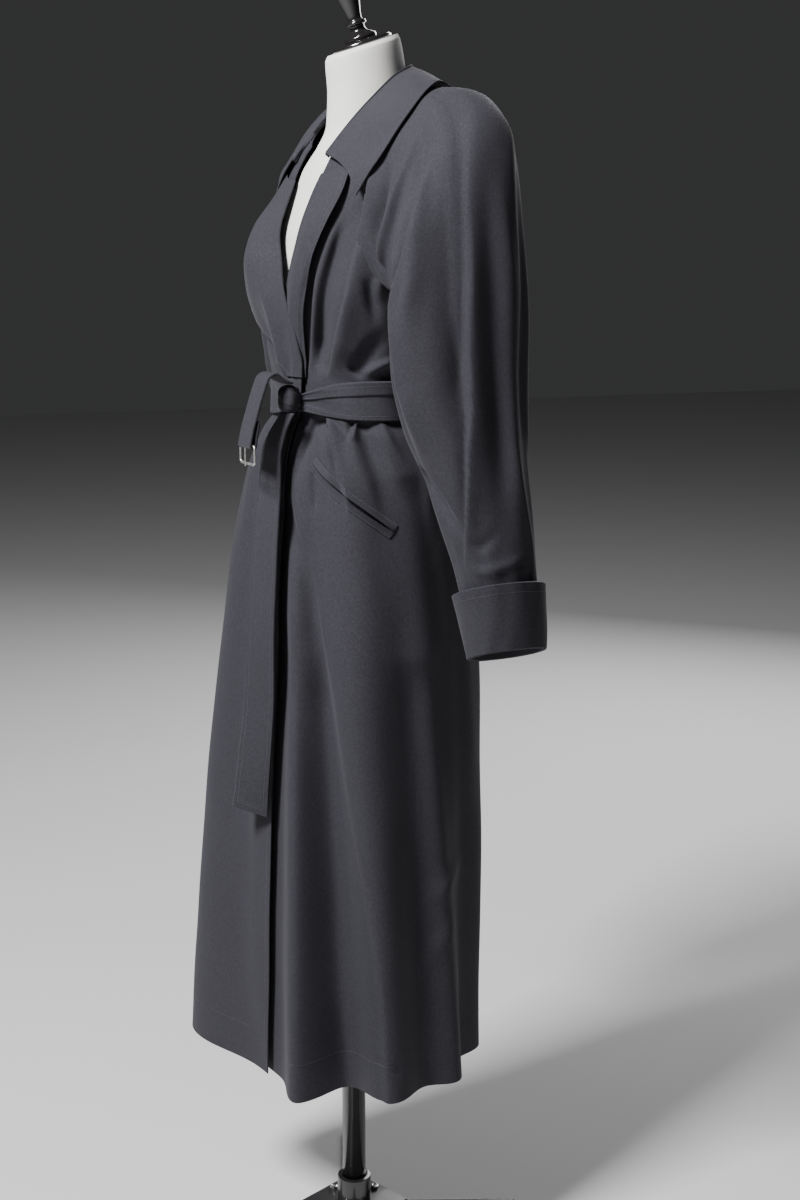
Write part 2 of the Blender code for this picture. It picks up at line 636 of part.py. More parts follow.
def sleeve_ring(side, around, ring, lift=0.0):
    """Points round a sleeve at a ring number, which may lie between two rings."""
    numbers = np.arange(len(SLEEVE_RINGS))
    value = {
        name: smooth_curve(numbers, [getattr(row, name) for row in SLEEVE_RINGS], ring)
        for name in SleeveRing._fields
    }
    angle = np.radians(around)
    power = 2 / SLEEVE_SQUARE
    up = np.sign(np.cos(angle)) * np.abs(np.cos(angle)) ** power
    aft = np.sign(np.sin(angle)) * np.abs(np.sin(angle)) ** power
    middle = np.array([(value["top_x"] + value["under_x"]) / 2, value["middle_y"],
                       (value["top_z"] + value["under_z"]) / 2])
    to_top = np.array([(value["top_x"] - value["under_x"]) / 2, value["skew"],
                       (value["top_z"] - value["under_z"]) / 2])
    points = middle + up[:, None] * to_top + aft[:, None] * np.array([0.0, value["half_depth"], 0.0])
    proud = np.full_like(around, lift, dtype=float)
    for crease in SLEEVE_CREASES:
        along = (ring - crease.first) / (crease.last - crease.first)
        if 0 < along < 1:
            share = ring / (len(SLEEVE_RINGS) - 1)
            centre = crease.shoulder + (crease.wrist - crease.shoulder) * share
            strength = math.sin(math.pi * along) ** 0.8
            proud = proud + crease.depth * strength * bump(around, centre, crease.width)
    points = points + proud[:, None] * unit(points - middle)
    if side < 0:
        points[:, 1] += RIGHT_ARM_BACK * ease(ring / ARM_BACK_FULL)
    return points * np.array([side, 1.0, 1.0])


def sleeve_grids(side):
    """The outer points and the inward normals of a sleeve, from the raglan seam to its hem."""
    around, angle, height = loop_layout()
    rows = [coat_point(side * angle, height, 0.0, side < 0)]
    rows += [sleeve_ring(side, around, float(ring)) for ring in range(len(SLEEVE_RINGS))]
    outer = np.array(rows)
    normals = side * -1.0 * grid_normals(outer, closed=True)
    seam_normals = coat_normal(side * angle, height, side < 0)
    under = UNDERARM_TURN * bump(around, 180.0, UNDERARM_REACH)[:, None]
    normals[0] = unit(seam_normals * (1 - under) + normals[0] * under)
    return outer, normals


def make_sleeve(side, collection):
    name = "sleeve_left" if side > 0 else "sleeve_right"
    outer, normals = sleeve_grids(side)
    inner = outer - CLOTH * normals
    add_object(name, wall_mesh(name, outer, inner, closed=True), "cloth", collection)


def make_cuff(side, collection):
    """The turned-up cuff round the sleeve's end, a little wider at its top edge."""
    name = "cuff_left" if side > 0 else "cuff_right"
    around = loop_layout()[0]
    last = len(SLEEVE_RINGS) - 1
    rings = np.linspace(CUFF_RING, last, 4)
    inner_rows, outer_rows = [], []
    for ring in rings:
        up = (last - ring) / (last - CUFF_RING)
        stand = LAY_GAP + CUFF_FLARE * up
        inner_rows.append(sleeve_ring(side, around, ring, stand))
        outer_rows.append(sleeve_ring(side, around, ring, stand + DOUBLE_CLOTH))
    mesh = wall_mesh(name, np.array(outer_rows), np.array(inner_rows), closed=True)
    add_object(name, mesh, "cloth", collection)


# ---------------------------------------------------------------------------
# Lapels, collar and pockets
# ---------------------------------------------------------------------------
def make_lapel(side, collection):
    """The top of a front, turned out along its roll line and lying on the panel."""
    name = "lapel_left" if side > 0 else "lapel_right"
    word = "left" if side > 0 else "right"
    lowest, highest = LAPELS[0].height, LAPELS[-1].height
    heights = np.linspace(lowest, highest, 13)
    roll = from_table(FRONT_EDGES, "height", word, heights)
    edge = from_table(LAPELS, "height", word + "_edge", heights)
    lift = from_table(LAPELS, "height", word + "_lift", heights)
    share = np.linspace(0, 1, LAPEL_COLUMNS + 1)
    angles = roll[:, None] * (1 - share) + edge[:, None] * share
    level = np.broadcast_to(heights[:, None], angles.shape)
    stand = LAY_GAP + lift[:, None] * ease(share / LAPEL_BREAK)[None, :]
    right = side < 0
    inner = coat_point(angles, level, stand, right)
    outer = coat_point(angles, level, stand + CLOTH, right)
    add_object(name, wall_mesh(name, outer, inner), "cloth", collection)


def shortfall(point, way, trees, gap):
    """How far a point must move along way to clear what these trees hold."""
    start = Vector(point + CLEAR_REACH * way)
    short = 0.0
    for tree in trees:
        hit = tree.ray_cast(start, Vector(-way), CLEAR_REACH + gap)[0]
        if hit is not None:
            short = max(short, (np.array(hit) + gap * way - point) @ way)
    return short


def clear_of(points, way, pieces, gap):
    """Moves a grid of points along a way until it and the faces between them clear the pieces."""
    trees = [BVHTree.FromPolygons([v.co for v in piece.data.vertices],
                                  [p.vertices for p in piece.data.polygons]) for piece in pieces]
    rows, columns = points.shape[:2]
    moved = points.copy()
    for row, column in np.ndindex(rows, columns):
        here, out = points[row, column], way[row, column]
        needs = [shortfall(here, out, trees, gap)]
        for next_row in range(max(row - 1, 0), min(row + 2, rows)):
            for next_column in range(max(column - 1, 0), min(column + 2, columns)):
                there = points[next_row, next_column]
                needs += [shortfall(here + t * (there - here), out, trees, gap) for t in (0.25, 0.5)]
        moved[row, column] += max(needs) * out
    return moved


def collar_value(name, share):
    stations = [row.share for row in COLLAR]
    values = np.array([np.atleast_1d(getattr(row, name)) for row in COLLAR])
    return np.array([smooth_curve(stations, values[:, i], share) for i in range(values.shape[1])])


def make_collar(collection, pieces):
    """Stand and fall in one folded wall round the neck, lying on the pieces below it."""
    columns = []
    for share in np.linspace(0, 1, COLLAR_COLUMNS + 1):
        angle, height = collar_value("seam_angle", share)[0], collar_value("seam_height", share)[0]
        fold, edge = collar_value("fold", share), collar_value("edge", share)
        on_coat = coat_point(angle, height, -CLOTH / 2)
        seam = on_coat + COLLAR_SEAM * unit(fold - on_coat)
        outwards = unit((edge - fold) * np.array([1.0, 1.0, 0.0]))
        inner_fold = fold - FOLD_RADIUS * outwards
        outer_fold = fold + FOLD_RADIUS * outwards
        up = np.array([0.0, 0.0, 1.0])
        columns.append([
            seam,
            seam * 0.45 + inner_fold * 0.55,
            inner_fold,
            fold + FOLD_RADIUS * up,
            outer_fold,
            outer_fold + 0.36 * (edge - outer_fold) + COLLAR_BOW * up,
            outer_fold + 0.70 * (edge - outer_fold) + COLLAR_BOW * up,
            edge,
        ])
    half = np.array(columns).transpose(1, 0, 2)
    other = half[:, -2::-1] * np.array([-1.0, 1.0, 1.0])
    grid = np.concatenate([half, other], axis=1)
    way = unit((grid[-1] - grid[2]) * np.array([1.0, 1.0, 0.0]))
    way = unit(0.8 * way + np.array([0.0, 0.0, 0.75]))
    way = np.repeat(way[None], 4, axis=0)
    grid[4:] = clear_of(grid[4:], way, pieces, COLLAR_LAY + CLOTH / 2)
    thick = 0.5 * CLOTH * grid_normals(grid)
    add_object("collar", wall_mesh("collar", grid + thick, grid - thick), "cloth", collection)


def make_pocket(side, collection):
    """Two welts along a slanted line, lying on the front."""
    word = "left" if side > 0 else "right"
    shares = np.linspace(0, 1, WELT_STEPS + 1)
    angle = from_table(POCKET_LINE, "share", "angle", shares)
    height = from_table(POCKET_LINE, "share", "height", shares)
    right = side < 0
    line = coat_point(side * angle, height, 0.0, right)
    slope = np.gradient(line, axis=0)
    along = np.linalg.norm(slope[:, :2], axis=1)
    down_angle = -slope[:, 2] / np.linalg.norm(slope, axis=1)
    down_height = along / np.linalg.norm(slope, axis=1)
    radius = np.linalg.norm(line[:, :2], axis=1)
    for part, near, far in (("upper", -WELT_PARTING / 2, -WELT_PARTING / 2 - WELT_WIDTH),
                            ("lower", WELT_PARTING / 2, WELT_PARTING / 2 + WELT_WIDTH)):
        name = "pocket_" + word + "_" + part
        rows = []
        for share in (0.0, 0.5, 1.0):
            across = near + (far - near) * share
            turned = side * (angle - np.degrees(down_angle * across / radius))
            rows.append((turned, height - down_height * across))
        angles = np.array([row[0] for row in rows])
        levels = np.array([row[1] for row in rows])
        crown = 0.0012 * np.array([0.0, 1.0, 0.0])[:, None]
        inner = coat_point(angles, levels, WELT_LAY, right)
        outer = coat_point(angles, levels, WELT_LAY + CLOTH + crown, right)
        add_object(name, wall_mesh(name, outer, inner), "cloth", collection)


# ---------------------------------------------------------------------------
# Belt and buckle
# ---------------------------------------------------------------------------
def belt_radius(angle):
    """The outside of everything that the belt goes round."""
    under = ring_radius(COAT_RINGS, angle, np.full_like(angle, WAIST_HEIGHT))
    edge = from_table(FRONT_EDGES, "height", "right", WAIST_HEIGHT)
    past_edge = ease((edge + BELT_EASE - angle) / BELT_EASE)
    lift = np.where(angle > edge, lap_lift(edge, WAIST_HEIGHT) * past_edge, lap_lift(angle, WAIST_HEIGHT))
    return under + lift + BELT_CLEARANCE


def make_belt_waist(collection):
    angles = np.linspace(-180, 180, BELT_COLUMNS + 1)[:-1]
    rows_out, rows_in = [], []
    for share in (-1.0, 0.0, 1.0):
        height = np.full_like(angles, WAIST_HEIGHT + share * BELT_WIDTH / 2)
        radius = belt_radius(angles) + BELT_SPREAD * share**2
        rows_in.append(ring_point(COAT_RINGS, angles, height, radius))
        rows_out.append(ring_point(COAT_RINGS, angles, height, radius + DOUBLE_CLOTH))
    mesh = wall_mesh("belt_waist", np.array(rows_out), np.array(rows_in), closed=True)
    add_object("belt_waist", mesh, "cloth", collection)


def strap_mesh(name, centres, widths, faces_out, thickness):
    """A flat strap: centre line points, half-width vectors and face normals."""
    rows_out, rows_in = [], []
    for share in (-1.0, 0.0, 1.0):
        line = centres + share * widths
        rows_out.append(line + 0.5 * thickness * faces_out)
        rows_in.append(line - 0.5 * thickness * faces_out)
    return wall_mesh(name, np.array(rows_out), np.array(rows_in))


def make_belt_tail(collection):
    heights = np.linspace(TAIL[0].height, TAIL[-1].height, TAIL_STEPS + 1)
    down = -heights
    keys = [-row.height for row in TAIL]
    along, out, facing = (
        smooth_curve(keys, [getattr(row, name) for row in TAIL], down) for name in ("along", "out", "facing")
    )
    centres = along[:, None] * ALONG + out[:, None] * OUT + heights[:, None] * np.array([0.0, 0.0, 1.0])
    across = facing[:, None] * ALONG + np.sqrt(1 - facing**2)[:, None] * OUT
    widths = across * BELT_WIDTH / 2
    widths[0] *= TAIL_GATHERED
    faces_out = unit(np.cross(across, np.array([0.0, 0.0, 1.0])))
    mesh = strap_mesh("belt_tail", centres, widths, faces_out, DOUBLE_CLOTH)
    for vertex in mesh.vertices:
        if vertex.co.z < TAIL[-1].height + 1e-6:
            side = (Vector(vertex.co) - Vector(centres[-1])).dot(Vector(across[-1])) / (BELT_WIDTH / 2)
            vertex.co.z -= 0.5 * TAIL_SLANT * side
    add_object("belt_tail", mesh, "cloth", collection)


def short_frame():
    """The short end's level direction and its strap's width direction."""
    turn = math.radians(SHORT_FACING)
    width = math.cos(turn) * OUT - math.sin(turn) * ALONG
    return np.array([-width[1], width[0], 0.0]), width


def short_path():
    """Centre line of the short end down to its foot, and the middle of the buckle's bar."""
    level = short_frame()[0]
    up = np.array([0.0, 0.0, 1.0])
    points = np.array([SHORT_ROOT + p.along * level + p.height * up for p in SHORT_END])
    runs = np.concatenate([[0], np.cumsum(np.linalg.norm(np.diff(points, axis=0), axis=1))])
    where = np.linspace(0, runs[-1], SHORT_STEPS + 1)
    path = np.stack([smooth_curve(runs, points[:, i], where) for i in range(3)], axis=1)
    radius = BUCKLE_WIRE + BAR_ROOM + DOUBLE_CLOTH / 2
    down = unit(path[-1] - path[-2])
    inwards = unit(level - (level @ down) * down)
    bar = path[-1] + radius * inwards
    turn = [bar - radius * math.cos(a) * inwards + radius * math.sin(a) * down
            for a in np.linspace(0, math.pi, TURN_STEPS + 1)[1:]]
    lean = TIP_LEAN * (radius - DOUBLE_CLOTH / 2)
    tip = [turn[-1] - TIP_LENGTH * t * down - lean * ease(2 * t) * inwards
           for t in np.linspace(0, 1, TIP_STEPS + 1)[1:]]
    return np.concatenate([path, turn, tip]), bar, down, inwards


def make_belt_short(collection, helpers):
    width = short_frame()[1]
    path, bar, down, inwards = short_path()
    faces_out = unit(np.cross(width, unit(np.gradient(path, axis=0))))
    widths = np.repeat((width * SHORT_WIDTH / 2)[None, :], len(path), axis=0)
    mesh = strap_mesh("belt_short", path, widths, faces_out, DOUBLE_CLOTH)
    strap = add_object("belt_short", mesh, "cloth", collection)

    slot = bpy.data.meshes.new("prong_slot")
    shape = bmesh.new()
    bmesh.ops.create_cube(shape, size=2.0)
    axes = Matrix((width * SLOT_WIDTH / 2, inwards * SLOT_REACH, down * SLOT_REACH)).transposed().to_4x4()
    bmesh.ops.transform(shape, matrix=Matrix.Translation(Vector(bar)) @ axes, verts=shape.verts)
    if shape.calc_volume(signed=True) < 0:
        bmesh.ops.reverse_faces(shape, faces=shape.faces)
    shape.to_mesh(slot)
    shape.free()
    cutter = bpy.data.objects.new("prong_slot", slot)
    cutter.hide_render = True
    cutter.display_type = "WIRE"
    helpers.objects.link(cutter)
    cut = strap.modifiers.new("Prong slot", "BOOLEAN")
    cut.operation = "DIFFERENCE"
    cut.object = cutter


def make_belt_knot(collection):
    """A rounded cube on the belt, wrapped cloth without its folds."""
    mesh = bpy.data.meshes.new("belt_knot")
    shape = bmesh.new()
    bmesh.ops.create_cube(shape, size=1.0)
    bmesh.ops.subdivide_edges(shape, edges=shape.edges, cuts=3, use_grid_fill=True)
    for vertex in shape.verts:
        direction = vertex.co.normalized()
        vertex.co = vertex.co.lerp(direction * KNOT_BALL, KNOT_ROUNDNESS)
    angle = np.array([KNOT_ANGLE])
    inner = belt_radius(angle)[0] + DOUBLE_CLOTH + BELT_SPREAD + LAY_GAP
    sine, cosine = math.sin(math.radians(KNOT_ANGLE)), math.cos(math.radians(KNOT_ANGLE))
    reach = inner + KNOT_SIZE[1] / 2 + LAY_GAP
    place = Matrix.Translation((reach * sine, -reach * cosine, WAIST_HEIGHT + 0.001))
    turn = Matrix.Rotation(math.radians(KNOT_ANGLE), 4, "Z")
    scale = Matrix.Diagonal((*KNOT_SIZE, 1.0))
    bmesh.ops.transform(shape, matrix=place @ turn @ scale, verts=shape.verts)
    shape.to_mesh(mesh)
    shape.free()
    add_object("belt_knot", mesh, "cloth", collection)


def wire_mesh(name, points, radius, cyclic, sides=8):
    """A round wire along points, as a closed mesh."""
    curve = bpy.data.curves.new(name + "_path", "CURVE")
    curve.dimensions = "3D"
    curve.bevel_depth = radius
    curve.bevel_resolution = max(sides // 4 - 1, 0)
    curve.use_fill_caps = not cyclic
    spline = curve.splines.new("POLY")
    spline.points.add(len(points) - 1)
    for target, point in zip(spline.points, points):
        target.co = (*point, 1.0)
    spline.use_cyclic_u = cyclic
    guide = bpy.data.objects.new(name + "_path", curve)
    bpy.context.scene.collection.objects.link(guide)
    bpy.context.view_layer.update()
    mesh = bpy.data.meshes.new_from_object(guide.evaluated_get(bpy.context.evaluated_depsgraph_get()))
    bpy.data.objects.remove(guide, do_unlink=True)
    shape = bmesh.new()
    shape.from_mesh(mesh)
    bmesh.ops.remove_doubles(shape, verts=shape.verts, dist=1e-6)
    if shape.calc_volume(signed=True) < 0:
        bmesh.ops.reverse_faces(shape, faces=shape.faces)
    shape.to_mesh(mesh)
    shape.free()
    mesh.name = name
    return mesh


def make_buckle(collection):
    """A wire frame on its bar in the strap's foot, and the prong on the same bar."""
    level, width = short_frame()
    bar = short_path()[1]
    reach = np.array([0.0, 0.0, -1.0])
    outer = -level
    half = SHORT_WIDTH / 2 + BUCKLE_SIDE + BUCKLE_WIRE - BUCKLE_CORNER
    far, near = BUCKLE_LENGTH - BUCKLE_CORNER, BUCKLE_CORNER
    outline = []
    for start, across, out in ((0, half, far), (90, -half, far), (180, -half, near), (270, half, near)):
        for turn in np.radians(start + np.linspace(0, 90, 4)):
            outline.append(bar + (across + BUCKLE_CORNER * math.cos(turn)) * width
                           + (out + BUCKLE_CORNER * math.sin(turn)) * reach)
    add_object("buckle_frame", wire_mesh("buckle_frame", outline, BUCKLE_WIRE, True), "chrome", collection)

    stand = BUCKLE_WIRE + PRONG_WIRE + PRONG_ROOM
    prong = [bar + stand * (math.cos(turn) * reach + math.sin(turn) * outer)
             for turn in np.radians(np.linspace(360, 90, 13))]
    prong.append(bar + (BUCKLE_LENGTH + PRONG_PAST) * reach + stand * outer)
    add_object("buckle_prong", wire_mesh("buckle_prong", prong, PRONG_WIRE, False), "chrome", collection)


# ---------------------------------------------------------------------------
# Dress form and stand
# ---------------------------------------------------------------------------
def form_ring(ring):
    """Points round one ring, and its centre."""
    turn = np.radians(np.linspace(-180, 180, FORM_COLUMNS + 1)[:-1])
    half_depth = (ring.front + ring.back) / 2
    centre = np.array([0.0, (ring.back - ring.front) / 2, ring.height])
    sine = np.sign(np.sin(turn)) * np.abs(np.sin(turn)) ** (2 / ring.square)
    cosine = np.sign(np.cos(turn)) * np.abs(np.cos(turn)) ** (2 / ring.square)
    points = centre + np.stack([ring.half_width * sine, -half_depth * cosine, -ring.fall * cosine], axis=1)
    return points, centre, math.atan2(ring.fall, half_depth)


def make_form(collection):
    grid = np.array([form_ring(ring)[0] for ring in FORM_RINGS])
    add_object("form_torso", tube_mesh("form_torso", grid), "form_cloth", collection)


def turned(name, profile, finish, collection):
    """A profile turned about its own Z axis, from its top point down its outer side."""
    mesh = bpy.data.meshes.new(name)
    points = [(radius, 0.0, height) for radius, height in profile]
    mesh.from_pydata(points, [(i, i + 1) for i in range(len(profile) - 1)], [])
    obj = bpy.data.objects.new(name, mesh)
    mesh.materials.append(material_of(finish))
    screw = obj.modifiers.new("Turn", "SCREW")
    screw.steps = TURNED_STEPS
    screw.render_steps = TURNED_STEPS
    screw.use_merge_vertices = True
    screw.merge_threshold = 0.00001
    screw.use_smooth_shade = True
    collection.objects.link(obj)
    return obj


def make_neck_top(collection):
    _, centre, slope = form_ring(FORM_RINGS[-1])
    lean = Matrix.Rotation(slope, 4, "X")
    up = lean @ Vector((0.0, 0.0, 1.0))
    seat = Vector(centre) + SEAM_GAP * up
    cap = turned("neck_cap", CAP_PROFILE, "lacquer", collection)
    cap.matrix_world = Matrix.Translation(seat) @ lean
    finial = turned("finial", FINIAL_PROFILE, "lacquer", collection)
    finial.matrix_world = Matrix.Translation(seat + up * (CAP_PROFILE[0][1] + SEAM_GAP)) @ lean


def cylinder(name, radius, low, high, finish, collection, sides=32, place=(0.0, 0.0)):
    mesh = bpy.data.meshes.new(name)
    shape = bmesh.new()
    bmesh.ops.create_cone(
        shape, cap_ends=True, segments=sides, radius1=radius, radius2=radius, depth=high - low)
    bmesh.ops.translate(shape, vec=(place[0], place[1], (low + high) / 2), verts=shape.verts)
    shape.to_mesh(mesh)
    shape.free()
    return add_object(name, mesh, finish, collection)


def box(name, size, low, turn, collection):
    mesh = bpy.data.meshes.new(name)
    shape = bmesh.new()
    bmesh.ops.create_cube(shape, size=1.0)
    scale = Matrix.Diagonal((size[0], size[1], size[2], 1.0))
    place = Matrix.Rotation(math.radians(turn), 4, "Z") @ Matrix.Translation((0, 0, low + size[2] / 2)) @ scale
    bmesh.ops.transform(shape, matrix=place, verts=shape.verts)
    shape.to_mesh(mesh)
    shape.free()
    return add_object(name, mesh, "black_metal", collection)


def make_stand(collection, helpers):
    """Crossed foot bars, a square flange with four bolts, a socket and the pole."""
    foot_turn = ENDS_AZIMUTH
    cross = box("base_cross", (CROSS_LENGTH, CROSS_WIDTH, CROSS_THICK), 0.0, foot_turn, collection)
    other = box("cross_bar", (CROSS_WIDTH, CROSS_LENGTH, CROSS_THICK), 0.0, foot_turn, helpers)
    other.hide_render = True
    other.display_type = "WIRE"
    joined = cross.modifiers.new("Cross", "BOOLEAN")
    joined.operation = "UNION"
    joined.object = other

    low = CROSS_THICK + SEAM_GAP
    flange = box("base_flange", (FLANGE_SIDE, FLANGE_SIDE, FLANGE_THICK), low, foot_turn + 45, collection)
    rounding = flange.modifiers.new("Rounded corners", "BEVEL")
    rounding.width = FLANGE_EDGE
    rounding.segments = 2
    rounding.limit_method = "ANGLE"

    top = low + FLANGE_THICK
    for number in range(4):
        turn = math.radians(foot_turn + 45 + 90 * number)
        place = (BOLT_CIRCLE * math.cos(turn), BOLT_CIRCLE * math.sin(turn))
        cylinder("base_bolt_%d" % (number + 1), BOLT_RADIUS, top + SEAM_GAP, top + SEAM_GAP + BOLT_HEIGHT,
                 "chrome", collection, 12, place)

    seat = top + SEAM_GAP
    socket_profile = (
        (POLE_RADIUS + 2 * SEAM_GAP, seat + SOCKET_HEIGHT), (SOCKET_RADIUS - FLANGE_EDGE, seat + SOCKET_HEIGHT),
        (SOCKET_RADIUS, seat + SOCKET_HEIGHT - FLANGE_EDGE), (SOCKET_RADIUS, seat),
        (POLE_RADIUS + 2 * SEAM_GAP, seat), (POLE_RADIUS + 2 * SEAM_GAP, seat + SOCKET_HEIGHT),
    )
    turned("pole_socket", socket_profile, "black_metal", collection)
    cylinder("pole", POLE_RADIUS, seat, POLE_TOP, "black_metal", collection)


def main():
    clear_scene()
    coat = new_collection("Trench coat on a dress form")
    helpers = new_collection("Cutters")
    make_panels(coat)
    for side in (1, -1):
        make_sleeve(side, coat)
        make_cuff(side, coat)
        make_lapel(side, coat)
        make_pocket(side, coat)
    below = ("front_left", "front_right", "back", "sleeve_left", "sleeve_right", "lapel_left", "lapel_right")
    make_collar(coat, [coat.objects[name] for name in below])
    make_belt_waist(coat)
    make_belt_knot(coat)
    make_belt_short(coat, helpers)
    make_belt_tail(coat)
    make_buckle(coat)
    make_form(coat)
    make_neck_top(coat)
    make_stand(coat, helpers)


main()
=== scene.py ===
"""The looks of a belted trench coat on its dress form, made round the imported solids.

Metres, +Z up, the solids' own frame: the coat's front faces -Y, the wearer's left is
+X, and an angle round the body is 0 at the centre front and 90 at the wearer's left.
Cloth is thin shells on the solids' forms, with finer creases, sewing and finishes.
"""

import math
from collections import namedtuple

import bmesh
import bpy
import numpy as np
from bpy.props import FloatProperty, FloatVectorProperty, PointerProperty
from bpy.types import Operator, Panel, PropertyGroup
from mathutils import Matrix, Vector
from mathutils.bvhtree import BVHTree


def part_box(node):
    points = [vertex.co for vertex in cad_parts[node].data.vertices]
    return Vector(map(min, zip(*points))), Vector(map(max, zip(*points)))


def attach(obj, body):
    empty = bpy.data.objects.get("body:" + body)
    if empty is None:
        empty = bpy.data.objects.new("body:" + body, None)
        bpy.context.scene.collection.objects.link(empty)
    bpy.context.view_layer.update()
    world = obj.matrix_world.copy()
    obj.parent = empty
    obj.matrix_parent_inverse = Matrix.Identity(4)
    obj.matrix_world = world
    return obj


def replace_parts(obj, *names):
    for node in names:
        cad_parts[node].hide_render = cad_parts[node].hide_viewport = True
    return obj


bl_info = {
    "name": "Trench coat looks",
    "version": (1, 0, 0),
    "blender": (4, 5, 0),
    "location": "View3D > Sidebar > Trench coat",
    "description": "Cloth, sewing and finishes of a belted trench coat on a dress form",
    "category": "Object",
}

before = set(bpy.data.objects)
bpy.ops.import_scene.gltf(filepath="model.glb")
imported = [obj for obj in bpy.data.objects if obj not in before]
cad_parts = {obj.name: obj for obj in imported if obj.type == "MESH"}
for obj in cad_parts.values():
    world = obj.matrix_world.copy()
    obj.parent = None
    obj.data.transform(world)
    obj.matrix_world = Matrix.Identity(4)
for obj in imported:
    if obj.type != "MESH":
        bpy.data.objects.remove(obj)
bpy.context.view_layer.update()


def table(columns, rows, defaults=()):
    """Rows of values as tuples with named columns."""
    kind = namedtuple("Row", columns, defaults=defaults)
    return tuple(kind(*row) for row in rows)


# ---------------------------------------------------------------------------
# Sizes of the coat's own form, the same as the solids'
# ---------------------------------------------------------------------------
CLOTH = 0.0018
DOUBLE_CLOTH = 0.0030
SEAM_GAP = 0.0003
LAY_GAP = 0.0005
HEM_HEIGHT = 0.268
WAIST_HEIGHT = 1.165
UNDERARM_HEIGHT = 1.300
NECK_HEIGHT = 1.515
SIDE_SEAM = 97.0
BELT_WIDTH = 0.046
BELT_CLEARANCE = 0.0014
BELT_EASE = 32.0
BELT_SPREAD = 0.0010
SMALLEST_CUT = 0.0101  # the least width and length that a cut of cloth is worked out with
RIM_ROUND = 0.45  # how far a wall's rim stands out, as a share of its thickness
INSIDE_SHIFT = (0.5, 0.0)  # moves the twill on a wall's inner side
YOKE_GAP, SIDE_GAP = 1.2, 0.6  # a panel's part of the seam's gap, above and below the underarm
HIP_HEIGHT, BELT_BAND = 0.94, 0.03  # a panel's rows grow denser at the hip and this far from the belt's middle
PANEL_ROWS = (91, 65, 16, 37, 59)  # from hem to hip, to the belt, past it, to the underarm and to the neck

COAT_RINGS = table("height half_width front back drop rise square", (
    (0.268, 0.186, 0.141, 0.149, 0.000, 0.000, 2.1),
    (0.600, 0.181, 0.130, 0.156, 0.000, 0.000, 2.1),
    (0.790, 0.175, 0.120, 0.158, 0.000, 0.000, 2.1),
    (0.966, 0.166, 0.111, 0.152, 0.000, 0.000, 2.1),
    (1.064, 0.155, 0.104, 0.138, 0.000, 0.000, 2.1),
    (1.120, 0.140, 0.094, 0.112, 0.000, 0.000, 2.1),
    (1.142, 0.130, 0.088, 0.096, 0.000, 0.000, 2.0),
    (1.188, 0.130, 0.086, 0.095, 0.000, 0.000, 2.0),
    (1.230, 0.141, 0.088, 0.102, 0.000, 0.000, 2.0),
    (1.300, 0.160, 0.096, 0.118, 0.000, 0.000, 2.0),
    (1.360, 0.166, 0.091, 0.127, 0.002, 0.002, 2.0),
    (1.420, 0.156, 0.074, 0.126, 0.012, 0.010, 2.0),
    (1.470, 0.126, 0.058, 0.115, 0.030, 0.021, 2.0),
    (1.500, 0.095, 0.049, 0.100, 0.048, 0.031, 2.0),
    (1.515, 0.070, 0.044, 0.090, 0.060, 0.036, 2.0),
))

SKIRT_FOLDS = table("waist_angle hem_angle waist_width hem_width depth top growth", (
    (-34, -38, 20, 25, 0.077, 1.138, 0.60),
    (33, 46, 8, 10, 0.040, 1.13, 0.80),
    (46, 65, 8, 10, -0.013, 1.136, 0.60),
    (62, 90, 13, 15, 0.012, 1.12, 0.70),
    (95, 113, 8, 10, 0.024, 1.10, 0.90),
    (120, 131, 8, 10, -0.012, 1.12, 0.70),
    (146, 151, 9, 11, 0.018, 1.12, 0.80),
    (178, 176, 10, 12, -0.014, 1.13, 0.70),
    (-150, -155, 9, 11, 0.016, 1.12, 0.80),
    (-124, -133, 8, 10, -0.011, 1.12, 0.70),
    (-98, -112, 8, 10, 0.022, 1.10, 0.90),
    (-74, -84, 8, 10, -0.006, 1.12, 0.70),
))

GATHERS = table("belt_angle end_angle width depth end", (
    (54, 84, 7, 0.010, 1.50),
    (44, 66, 8, -0.014, 1.46),
    (74, 82, 6, -0.005, 1.28),
    (-20, -34, 7, 0.007, 1.34),
    (-32, -46, 6, -0.006, 1.32),
    (-46, -58, 7, 0.008, 1.38),
    (-62, -72, 6, -0.006, 1.30),
    (112, 104, 8, 0.006, 1.32),
    (134, 128, 7, -0.006, 1.30),
    (158, 156, 8, 0.007, 1.36),
    (180, 180, 8, -0.007, 1.34),
    (-157, -155, 8, 0.007, 1.35),
    (-133, -128, 7, -0.006, 1.30),
    (-110, -103, 8, 0.006, 1.32),
    (40, 33, 5, -0.007, 1.06),
    (52, 54, 5, 0.006, 1.05),
    (60, 66, 5, -0.007, 1.03),
    (72, 90, 6, -0.008, 1.00),
    (-26, -24, 6, -0.006, 1.06),
    (-60, -66, 6, -0.007, 1.04),
    (126, 128, 7, -0.006, 1.05),
    (165, 165, 7, -0.006, 1.05),
    (-165, -165, 7, -0.006, 1.05),
    (-122, -124, 7, -0.006, 1.05),
))
GATHER_REACH = 0.05  # how far past the belt's edges the gathers are fully grown

